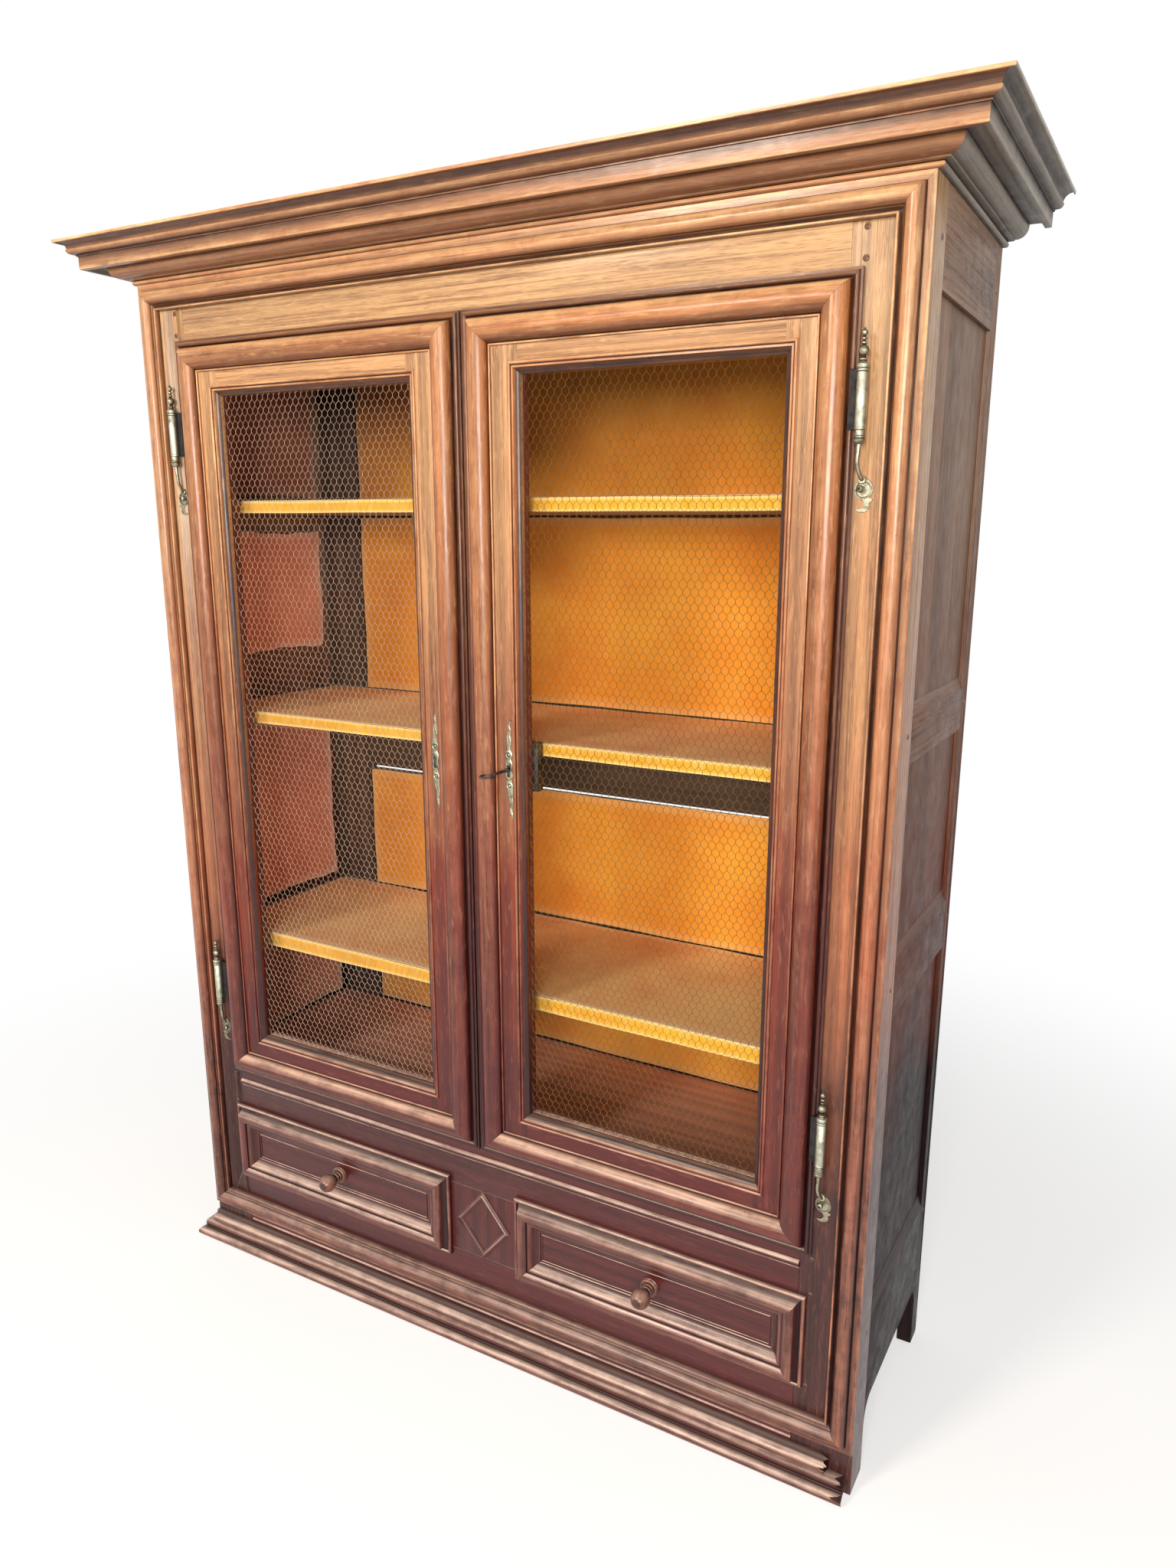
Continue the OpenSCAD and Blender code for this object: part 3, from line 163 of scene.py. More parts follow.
def shows_backdrop(tree):
    """1 for a ray that shows the background, to the camera or in a reflection, and 0 for one that
    brings light to the piece."""
    ray = add(tree, "ShaderNodeLightPath").outputs
    straight = add(tree, "ShaderNodeMath", ray["Is Camera Ray"], ray["Is Transmission Ray"],
                   operation="MAXIMUM")
    return add(tree, "ShaderNodeMath", straight, ray["Is Glossy Ray"], operation="MAXIMUM")


world = bpy.data.worlds.new("studio")
bpy.context.scene.world = world
world.use_nodes = True
sky = world.node_tree
sky.nodes.clear()
fill = add(sky, "ShaderNodeBackground", Color=linear("#F4F6FA"), Strength=0.26)
white = add(sky, "ShaderNodeBackground", Color=WHITE, Strength=1.0)
add(sky, "ShaderNodeOutputWorld",
    Surface=add(sky, "ShaderNodeMixShader", shows_backdrop(sky), fill, white))


def lamp(name, place, target, size, power, colour):
    """A soft square lamp that looks at a point."""
    data = bpy.data.lights.new(name, "AREA")
    data.shape = "RECTANGLE"
    data.size, data.size_y = size
    data.energy = power
    data.color = linear(colour)[:3]
    made = in_scene(name, data)
    made.location = place
    made.rotation_euler = (Vector(target) - Vector(place)).to_track_quat("-Z", "Y").to_euler()


lamp("key", (-1.7, -5.3, 3.4), (0.1, 0.0, 1.1), (1.3, 1.2), 140, "#FFF4E6")
lamp("camera_side", (2.3, -5.6, 2.0), (0.0, 0.0, 1.0), (2.4, 1.4), 285, "#FFF9F2")
bpy.context.scene.view_settings.view_transform = "Standard"
print("lamps:", [made.name for made in bpy.data.lights])

# %% [markdown]
# ## Floor
#
# Near the piece the floor is matte paint, so that it takes the shadow, with some white glow for
# the eye alone. Farther off, where paint would look grey, the glow takes over smoothly and the
# floor runs into the white background.

# %% Floor
FLOOR_REACH = 14.0
floor_mesh = bpy.data.meshes.new("floor")
floor_mesh.from_pydata([(x * FLOOR_REACH, y * FLOOR_REACH, 0)
                        for x, y in ((-1, -1), (1, -1), (1, 1), (-1, 1))], [], [(0, 1, 2, 3)])
floor_finish, t = new_material("painted_studio_floor")
seen = shows_backdrop(t)
away = add(t, "ShaderNodeVectorMath", add(t, "ShaderNodeTexCoord").outputs["Object"],
           operation="LENGTH")
far = add(t, "ShaderNodeMapRange", away, From_Min=0.9, From_Max=2.6,
          interpolation_type="SMOOTHSTEP")
fade = add(t, "ShaderNodeMath", far, seen, operation="MULTIPLY")
matte = add(t, "ShaderNodeBsdfDiffuse", Color=linear("#F7F6F4"))
unlit = add(t, "ShaderNodeEmission", Strength=0.0)
shade = add(t, "ShaderNodeMixShader", fade, matte, unlit)
glow = add(t, "ShaderNodeMath", seen, add(t, "ShaderNodeMapRange", far, To_Min=0.46, To_Max=1.0),
           operation="MULTIPLY")
glow = add(t, "ShaderNodeEmission", Color=WHITE, Strength=glow)
add(t, "ShaderNodeOutputMaterial", Surface=add(t, "ShaderNodeAddShader", shade, glow))
floor_mesh.materials.append(floor_finish)
in_scene("floor", floor_mesh)
print("floor reaches", FLOOR_REACH, "m each way")

# %% [markdown]
# ## Where things are
#
# A few places are read from the solids once, so that the dressed pieces sit exactly where the
# model has them: the face of the case, the rails, the doors and the drawers.

# %% Places, from the solids
MM = 0.001
SIDES = ("left", -1), ("right", 1)
FORWARD = 0, -1, 0      # the way the front looks


def span(node):
    """A solid's lowest and highest corners, as plain lists."""
    low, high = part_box(node)
    return list(low), list(high)


FACE_Y = span("top_rail")[0][1]
HALF_W = span("front_post_right")[1][0]
BACK_Y = span("rear_post_right")[1][1]
FRAME_LOW, FRAME_HIGH = span("frame_moulding")[0][2], span("frame_moulding")[1][2]
DOOR_LOW, DOOR_HIGH = span("right_door_moulding")
DRAWER_LOW, DRAWER_HIGH = span("right_drawer_front")
NET_LOW, NET_HIGH = span("right_door_mesh")
INNER_X = span("floor_board")[1][0]
# The opening in each door's frame, from the middle of the case outwards, and from foot to head
WINDOW_X = 109.25 * MM, 545.5 * MM
WINDOW_Z = 0.5285, 1.8005
print("case face at y", round(FACE_Y, 4), "half width", HALF_W, "frame", FRAME_LOW, FRAME_HIGH)

# %% [markdown]
# ## How wood is described on a piece
#
# Each wooden piece carries a small attribute called wood: how far a point lies along the grain,
# then across it, then into the board, in metres, with a jump of its own for each board. One oak
# material can then serve every board and every length of moulding, with its grain always running
# the right way. Two more attributes say where the surface is painted paler, for the wear of hands
# and cloths and as painted highlight on crests, and where it is painted darker, for gathered wax
# and dust and as painted shade in hollows.


def outward_mesh(name, verts, faces):
    """A mesh of these points and faces, with every face turned outwards."""
    mesh = bpy.data.meshes.new(name)
    mesh.from_pydata([tuple(v) for v in verts], [], faces)
    bm = bmesh.new()
    bm.from_mesh(mesh)
    bmesh.ops.recalc_face_normals(bm, faces=bm.faces)
    bm.to_mesh(mesh)
    bm.free()
    return mesh


def closed_strip(first, rings, n):
    """The faces that join rings of n points, numbered from first on, and close both ends."""
    last = first + (rings - 1) * n
    faces = [(a + k, a + (k + 1) % n, a + n + (k + 1) % n, a + n + k)
             for a in range(first, last, n) for k in range(n)]
    return faces + [tuple(range(first, first + n)), tuple(reversed(range(last, last + n)))]


def closed_sheet(columns, rows):
    """The faces of a thin closed sheet: two grids of points, one behind the other, and the rim
    that joins them."""
    line = columns + 1
    n = line * (rows + 1)
    faces = []
    for a in [j * line + i for j in range(rows) for i in range(columns)]:
        faces.append((a, a + 1, a + line + 1, a + line))
        faces.append((n + a, n + a + line, n + a + line + 1, n + a + 1))
    rim = (list(range(columns)) + [j * line + columns for j in range(rows)]
           + [rows * line + columns - i for i in range(columns)]
           + [(rows - j) * line for j in range(rows)])
    return faces + [(a, b, n + b, n + a) for a, b in zip(rim, rim[1:] + rim[:1])]


def store(mesh, name, values, domain="POINT"):
    """Writes a named attribute in one go: a number or a vector for each point or corner."""
    values = np.asarray(values, np.float32)
    kind, field = ("FLOAT_VECTOR", "vector") if values.ndim == 2 else ("FLOAT", "value")
    mesh.attributes.new(name, kind, domain).data.foreach_set(field, values.ravel())


def finish_mesh(name, body, material, mesh, replaces, angle):
    """Puts a finished mesh in the scene on a body, smooth with sharp creases, with a material if
    one is given, and hides the solids it stands for."""
    mesh.validate()
    mesh.update()
    for polygon in mesh.polygons:
        polygon.use_smooth = True
    mesh.set_sharp_from_angle(angle=math.radians(angle))
    piece = in_scene(name, mesh)
    if material is not None:
        mesh.materials.append(material)
    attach(piece, body)
    if replaces:
        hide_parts(*replaces)
    return piece


def board_jump(seed):
    """A place in the log that belongs to one board alone."""
    rng = random.Random(seed)
    return np.array([rng.uniform(0, 20), rng.uniform(0, 6), rng.uniform(0, 6)])


print("mesh helpers ready")

# %% [markdown]
# ## How a board is made
#
# Planed boards never keep a knife edge: a century of handling rounds it by about a millimetre.
# Each board is a copy of its solid with its loose triangles joined, its flat faces merged and its
# edges rounded by a small bevel. Frames made of uprights and rails are cut on the line where the
# boards meet, so that the grain turns there as it does in a real joint.

# %% Boards from solids
WELD = 2e-5     # points closer than this are one point
CROSSWAYS, BACKWARDS, UPRIGHT = 0, 1, 2     # the axis that a board's grain follows


def welded(node):
    """A solid's mesh with its loose triangles joined."""
    bm = bmesh.new()
    bm.from_mesh(frame["nodes"][node].data)
    bmesh.ops.remove_doubles(bm, verts=bm.verts, dist=WELD)
    return bm


def board(node, grain=CROSSWAYS, seed=1, material=None, ease=1.2, cuts=(), split=None, name=None):
    """A copy of a solid with softened edges, cut square to X at some places. Where a solid holds
    several boards, split gives the grain's axis and the board's number from a face's middle."""
    bm = welded(node)
    bmesh.ops.dissolve_limit(bm, angle_limit=math.radians(1.0), verts=bm.verts, edges=bm.edges)
    sharp = [e for e in bm.edges if len(e.link_faces) == 2
             and e.calc_face_angle(0) > math.radians(40) and e.calc_length() > 0.006]
    bmesh.ops.bevel(bm, geom=sharp, offset=ease * MM, segments=2, profile=0.6, affect="EDGES",
                    clamp_overlap=True)
    for x in cuts:
        bmesh.ops.bisect_plane(bm, geom=bm.verts[:] + bm.edges[:] + bm.faces[:], dist=1e-6,
                               plane_co=(x, 0, 0), plane_no=(1, 0, 0))
    bmesh.ops.recalc_face_normals(bm, faces=bm.faces)
    name = name or node + "_wood"
    mesh = bpy.data.meshes.new(name)
    bm.to_mesh(mesh)
    bm.free()
    wood = np.zeros((len(mesh.loops), 3))
    points = np.array([v.co[:] for v in mesh.vertices])
    for polygon in mesh.polygons:
        axis, number = split(polygon.center) if split else (grain, 0)
        order = [axis] + [a for a in (0, 1, 2) if a != axis]
        loops = list(polygon.loop_indices)
        own = points[[mesh.loops[i].vertex_index for i in loops]][:, order]
        wood[loops] = own + board_jump(seed * 31 + number)
    store(mesh, "wood", wood, "CORNER")
    return finish_mesh(name, frame["nodes"][node]["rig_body"], material, mesh, (node,), 30)


print("board helper ready")

# %% [markdown]
# ## Oak
#
# The case is French oak, planed by hand, stained a warm brown, waxed for generations and faded.
# Fresh wax gives a soft sheen with a roughness near 0.4. Oak has long open pores about a third of
# a millimetre wide and ten to twenty long, drawn here twice as wide so that they show, and broad
# streaks of darker late wood a few millimetres apart. The wood is golden brown in the upper half
# and is made a deep reddish brown towards the floor, so colour also follows height above the floor.
# What faces up is painted paler, partly as dust and partly as painted highlight, and undersides get
# their own painted colour, mostly a darker one as painted shade, so the material also asks which
# way its surface looks. All the fine patterns are noise drawn out along the grain, so one table
# holds them.

# %% Waxed oak
# How often each pattern changes in a metre along the grain and across it, its detail, roughness
# and distortion
GRAIN = {"bands": (4.0, 200.0, 5.0, 0.65, 0.5),       # late wood: streaks 3 mm wide, 150 mm long
         "flecks": (26.0, 210.0, 2.0, 0.5, 0.8),      # silver grain, cut through the rays of oak
         "pores": (45.0, 1500.0, 1.0, 0.4, 0.0),      # 0.7 mm wide, 22 mm long
         "drag": (9.0, 160.0, 3.0, 0.6, 0.0),         # where cloths have rubbed along the board
         "ripple": (22.0, 30.0, 2.0, 0.5, 0.0)}       # the ripple of a hand plane, 40 mm long


def oak_wood(name, top, middle, low, streak="#512C1B", pale="#F5C187", pale_low="#B79183",
             grime_and_shade="#211112", under="#421F17", rough=0.40, contrast=1.0, bump=0.35, worn_and_lit_most=0.8,
             dusty_highlight="#D9B4A5", ledge=0.7, painted_underside=0.6, silver=0.28, shine=0.3, gloss=0.3, dark_to=0.3):
    """Waxed oak that reads the wood attribute and the marks of wear and painted highlight and of
    dirt and painted shade, and paints it paler where it looks up and in its own colour where it
    looks down.
    """
    material, t = new_material(name)
    wood = add(t, "ShaderNodeAttribute", attribute_name="wood").outputs["Vector"]
    wear = add(t, "ShaderNodeAttribute", attribute_name="wear").outputs["Fac"]
    dirt_and_shade = add(t, "ShaderNodeAttribute", attribute_name="dirt_and_shade").outputs["Fac"]
    spot = add(t, "ShaderNodeTexCoord").outputs
    place = spot["Object"]
    height = add(t, "ShaderNodeSeparateXYZ", place).outputs["Z"]
    facing = add(t, "ShaderNodeSeparateXYZ", spot["Normal"]).outputs["Z"]
    grain = {}
    for part, (along, across, detail, roughness, distortion) in GRAIN.items():
        drawn = add(t, "ShaderNodeVectorMath", wood, (along, across, across), operation="MULTIPLY")
        grain[part] = add(t, "ShaderNodeTexNoise", drawn, Scale=1.0, Detail=detail,
                          Roughness=roughness, Distortion=distortion)
    # The colour darkens and reddens towards the floor, in patches about a hand wide
    patches = add(t, "ShaderNodeTexNoise", place, Scale=3.2, Detail=4.0, Roughness=0.6)
    shifted = add(t, "ShaderNodeMath", patches, 0.9, height, operation="MULTIPLY_ADD")
    ramp = add(t, "ShaderNodeValToRGB",
               add(t, "ShaderNodeMapRange", shifted, From_Min=0.4, From_Max=2.4))
    stops = ramp.color_ramp.elements
    stops[0].color, stops[0].position = linear(low), dark_to
    stops[1].color, stops[1].position = linear(top), 0.9
    stops.new(0.5).color = linear(middle)
    late = add(t, "ShaderNodeMapRange", grain["bands"], From_Min=0.44, From_Max=0.68,
               To_Max=0.62 * contrast)
    tone = add(t, "ShaderNodeMix", late, ramp, linear(streak), data_type="RGBA")
    # Broad figure, 25 mm across, that bends like the rings of a slab-sawn board
    slow = add(t, "ShaderNodeVectorMath", wood, (0.9, 16.0, 16.0), operation="MULTIPLY")
    figure = add(t, "ShaderNodeTexWave", slow, wave_type="BANDS", bands_direction="Y", Scale=0.55,
                 Distortion=7.0, Detail=2.5, Detail_Scale=0.9)
    figured = add(t, "ShaderNodeMapRange", figure, To_Min=0.76, To_Max=1.18)
    tone = add(t, "ShaderNodeVectorMath", tone, operation="SCALE", Scale=figured)
    # What breaks up wear, dust, dirt and the painted highlight and shade: drag marks and a coarse
    # mottle
    mottle = add(t, "ShaderNodeTexNoise", place, Scale=26.0, Detail=5.0, Roughness=0.65)
    mottled = add(t, "ShaderNodeMath", mottle, 0.4, operation="MULTIPLY")
    broken = add(t, "ShaderNodeMath", grain["drag"], 0.6, mottled, operation="MULTIPLY_ADD")
    # The pale tones, each duller near the floor
    pales = []
    for dull, foot, head in ((pale_low, 0.6, 1.7), (dusty_highlight, 0.3, 1.5)):
        rise = add(t, "ShaderNodeMapRange", height, From_Min=foot, From_Max=head)
        pales.append(add(t, "ShaderNodeMix", rise, linear(dull), linear(pale), data_type="RGBA"))
    # Each layer lies over the ones before: how much of it shows, and its colour
    fleck = add(t, "ShaderNodeMapRange", grain["flecks"], From_Min=0.55, From_Max=0.72,
                To_Max=silver)
    pore = add(t, "ShaderNodeMapRange", grain["pores"], From_Min=0.58, From_Max=0.74,
               To_Max=0.4 * contrast)
    worn_and_lit = add(t, "ShaderNodeMath", wear,
               add(t, "ShaderNodeMapRange", broken, From_Min=0.40, From_Max=0.60, To_Min=0.12,
                   To_Max=worn_and_lit_most), operation="MULTIPLY")
    # Painted highlight, partly dust, on what faces up; undersides get their own painted colour,
    # darker as painted shade, and paler for the bare wood inside
    bleached_and_lit = add(t, "ShaderNodeMath",
                   add(t, "ShaderNodeMapRange", facing, From_Min=0.15, From_Max=0.75, To_Max=ledge),
                   add(t, "ShaderNodeMapRange", broken, From_Min=0.38, From_Max=0.58, To_Min=0.35),
                   operation="MULTIPLY")
    below = add(t, "ShaderNodeMapRange", facing, From_Min=-0.1, From_Max=-0.75, To_Max=painted_underside)
    dirty_and_shaded = add(t, "ShaderNodeMath", dirt_and_shade,
                add(t, "ShaderNodeMapRange", broken, From_Min=0.3, From_Max=0.6, To_Min=0.6,
                    To_Max=0.97), operation="MULTIPLY")
    for share, over in ((fleck, pales[0]), (pore, linear(grime_and_shade)), (worn_and_lit, pales[0]),
                        (bleached_and_lit, pales[1]), (below, linear(under)), (dirty_and_shaded, linear(grime_and_shade))):
        tone = add(t, "ShaderNodeMix", share, tone, over, data_type="RGBA")
    # Wax: smoother where it is rubbed, duller in the pores
    sheen = add(t, "ShaderNodeMapRange", mottle, From_Min=0.3, From_Max=0.7, To_Min=rough - 0.09,
                To_Max=rough + 0.12)
    sheen = add(t, "ShaderNodeMath", wear, -0.1, sheen, operation="MULTIPLY_ADD")
    sheen = add(t, "ShaderNodeMath", pore, 0.4, sheen, operation="MULTIPLY_ADD")
    # Relief: open pores, late wood that stands up, and the ripple of the plane
    relief = add(t, "ShaderNodeMath", pore, -0.6, grain["ripple"], operation="MULTIPLY_ADD")
    relief = add(t, "ShaderNodeMath", grain["bands"], 0.5, relief, operation="MULTIPLY_ADD")
    bumped = add(t, "ShaderNodeBump", Height=relief, Strength=bump, Distance=0.0012)
    skin = add(t, "ShaderNodeBsdfPrincipled", Base_Color=tone, Roughness=sheen, Normal=bumped,
               Specular_IOR_Level=shine, Coat_Weight=gloss, Coat_Roughness=0.2)
    add(t, "ShaderNodeOutputMaterial", Surface=skin)
    return material


print("patterns along the grain:", list(GRAIN))

# %% [markdown]
# ## Ten oak finishes
#
# The same oak looks different in each place. Doors and cornice are redder and crisper than the
# posts, the base is dark and rubbed to a shine, the sides and the cornice's returns have faded and
# lost their wax, and the wood inside was never waxed. Each finish gives its colour at the top, the
# middle and the foot of the piece, and then what differs from the usual.

# %% Oak finishes
front_oak = oak_wood("waxed_oak_boards", "#C29768", "#A76542", "#34181A", streak="#5C2F1E",
                     pale="#FBC891", pale_low="#935A46", contrast=1.15, dusty_highlight="#CDA593", ledge=0.6)
door_oak = oak_wood("waxed_oak_doors", "#C29264", "#7D3420", "#511A1A", streak="#481C12",
                    pale="#F9C48F", pale_low="#935142", contrast=1.05, dusty_highlight="#CDA593", ledge=0.6)
moulded_oak = oak_wood("waxed_oak_cornice", "#BD7F55", "#9E5336", "#3B1C1C", streak="#3B1912",
                       pale="#FFCD93", pale_low="#BB795E", grime_and_shade="#1C0D0D", rough=0.34,
                       worn_and_lit_most=1.0, dark_to=0.24)
door_moulded = oak_wood("waxed_oak_door_mouldings", "#A96435", "#742B1E", "#4D181A",
                        streak="#321311", pale="#FFC88F", pale_low="#9C5542", grime_and_shade="#1C0D0D",
                        rough=0.34, worn_and_lit_most=0.85, dusty_highlight="#ECC2AC", ledge=0.95)
base_oak = oak_wood("waxed_oak_base", "#703227", "#652B25", "#511E1E", streak="#251113",
                    under="#271315", pale="#F0C2A5", pale_low="#AC7763", grime_and_shade="#1C0D0F",
                    rough=0.32, worn_and_lit_most=0.9, dusty_highlight="#F0CFBD", ledge=0.98, silver=0.07)
side_oak = oak_wood("faded_oak_sides", "#A2836E", "#703B29", "#180B0D", streak="#2D1816",
                    under="#2D1A18", pale="#C2AD9C", pale_low="#63463D", dusty_highlight="#938785",
                    rough=0.45, bump=0.5, ledge=0.95, silver=0.15, shine=0.12, gloss=0.0)
return_oak = oak_wood("faded_oak_cornice_returns", "#AFA496", "#AFA496", "#AFA496",
                      streak="#594C42", under="#4E4640", pale="#DDD2C2", pale_low="#C2AD9C",
                      rough=0.45, bump=0.5, painted_underside=0.55, silver=0.15, shine=0.2, gloss=0.0)
back_oak = oak_wood("dark_oak_back_frame", "#4A3933", "#5D4631", "#3B2B26", streak="#261A16",
                    under="#261A18", pale="#816A55", pale_low="#705B4C", rough=0.6, silver=0.1,
                    gloss=0.0)
inner_wood = oak_wood("bare_wood_inside", "#9B7752", "#9B7752", "#926F4E", streak="#624933",
                      under="#A78864", pale="#C09B71", pale_low="#AF8A64", dusty_highlight="#B89675",
                      grime_and_shade="#2C1E15", rough=0.68, contrast=0.8, bump=0.5, ledge=0.3, painted_underside=0.7,
                      silver=0.1, gloss=0.0)
floor_wood = oak_wood("stained_floor_boards", "#E69B7E", "#E69B7E", "#E2977A", streak="#A66A53",
                      under="#6E4334", pale="#ECB295", pale_low="#E8AE91", grime_and_shade="#4D2C24",
                      rough=0.6, contrast=0.7, ledge=0.4, silver=0.1, gloss=0.0)
print("oak finishes:", [made.name for made in (front_oak, door_oak, moulded_oak, door_moulded,
                                               base_oak, side_oak, return_oak, back_oak,
                                               inner_wood, floor_wood)])

# %% [markdown]
# ## The case's boards
#
# Uprights have their grain standing, rails have it across, and the rails, panels and battens of
# the sides have it running back. Where one solid holds several boards, they are told apart by
# their height, and each takes its own place in the log.

# %% Boards of the case
for node, grain, seed, finish, ease in (
        ("front_post_left", UPRIGHT, 11, front_oak, 1.2),
        ("front_post_right", UPRIGHT, 12, front_oak, 1.2),
        ("rear_post_left", UPRIGHT, 13, side_oak, 1.2),
        ("rear_post_right", UPRIGHT, 14, side_oak, 1.2),
        ("top_rail", CROSSWAYS, 15, front_oak, 1.2),
        ("mid_rail", CROSSWAYS, 16, base_oak, 0.6),
        ("bottom_rail", CROSSWAYS, 17, base_oak, 0.4),
        ("centre_board", UPRIGHT, 18, base_oak, 1.2)):
    board(node, grain, seed, finish, ease)
for side, _ in SIDES:
    board("side_rails_" + side, seed=21 + len(side), material=side_oak,
          split=lambda c: (BACKWARDS, int(c[2] * 3.1)))
    board("side_panels_" + side, seed=31 + len(side), material=side_oak,
          split=lambda c: (UPRIGHT, int(c[2] * 2.3)))
for node, seed, finish in (("roof_board", 41, inner_wood), ("floor_board", 42, floor_wood),
                           ("shelf_upper", 43, inner_wood), ("shelf_middle", 44, inner_wood),
                           ("shelf_lower", 45, inner_wood)):
    board(node, CROSSWAYS, seed, finish)
board("shelf_battens", seed=47, material=inner_wood, split=lambda c: (BACKWARDS, int(c[2] * 3)))
board("drawer_runners", BACKWARDS, 48, inner_wood)
board("back_panels", seed=49, material=back_oak, split=lambda c: (UPRIGHT, int(c[2] * 1.4)))
stile_x = INNER_X - 107 * MM
board("back_frame", seed=50, material=back_oak, cuts=(-stile_x, stile_x),
      split=lambda c: ((UPRIGHT, int(c[0] > 0)) if abs(c[0]) > stile_x
                       else (CROSSWAYS, 3 + int(c[2] * 2))))
for side, sign in SIDES:
    edges = sorted(sign * x for x in WINDOW_X)
    board(side + "_door_frame", seed=60 + sign, material=door_oak, ease=0.5, cuts=edges,
          split=lambda c, a=edges[0], b=edges[1]: ((CROSSWAYS, 5 + int(c[2])) if a < c[0] < b
                                                   else (UPRIGHT, int(c[0] * 9))))
    board(side + "_door_fillets", UPRIGHT, 64 + sign, base_oak)
    board(side + "_drawer_box", CROSSWAYS, 67 + sign, inner_wood)

# %% [markdown]
# ## Mouldings
#
# A moulding is one profile drawn along a straight length, cut at 45 degrees where it turns a
# corner. It could be a bevelled curve, but a curve bends its profile round the corner and hides
# the mitre, and on old work the mitre shows: each length shrinks and leaves a hairline gap. So
# every length is its own closed strip. It has a cross-section every few centimetres, which lets
# it waver by a quarter of a millimetre as hand-planed work does. Where a profile stands above its
# neighbours it is marked for wear and painted highlight, and where it sinks below them it is
# marked for dirt and painted shade.

# %% Profiles and lengths
def turn(cx, cy, r, first, last, steps):
    """Points on an arc, in millimetres."""
    angles = [math.radians(first + (last - first) * i / steps) for i in range(steps + 1)]
    return [(cx + r * math.cos(a), cy + r * math.sin(a)) for a in angles]


def marks(profile, reach=6.0, depth=1.7):
    """How much wear and painted highlight, and how much dirt and painted shade, each point of a
    profile gets, from its height over its neighbours, near by and farther off."""
    far_reach, far_depth = 15.0, 5.0
    pts = np.array(profile, float)
    step = np.r_[0, np.cumsum(np.linalg.norm(np.diff(pts, axis=0), axis=1))]
    fine = np.linspace(0, step[-1], 400)
    high = np.interp(fine, step, pts[:, 1])
    worn_and_lit, dirty_and_shaded = np.zeros(len(pts)), np.zeros(len(pts))
    for radius, full in ((reach, depth), (far_reach, far_depth)):
        relative = np.array([np.interp(s, step, pts[:, 1]) - high[np.abs(fine - s) < radius].mean()
                             for s in step]) / full
        worn_and_lit = np.maximum(worn_and_lit, relative)
        dirty_and_shaded = np.maximum(dirty_and_shaded, -1.9 * relative)
    return np.clip(worn_and_lit, 0, 1), np.clip(dirty_and_shaded, 0, 1)


print("a bead's arc:", [(round(x, 1), round(y, 1)) for x, y in turn(2, 0, 2, 180, 0, 4)])

# %% [markdown]
# ## Lengths of moulding
#
# This class collects the lengths of one piece. A length is given by where each point of its
# profile starts and where it ends, so that a mitre is a slanted row of ends and a broken end is a
# ragged one. Each point also gets its place in the wood, its wear and painted highlight, and its
# dirt and painted shade.

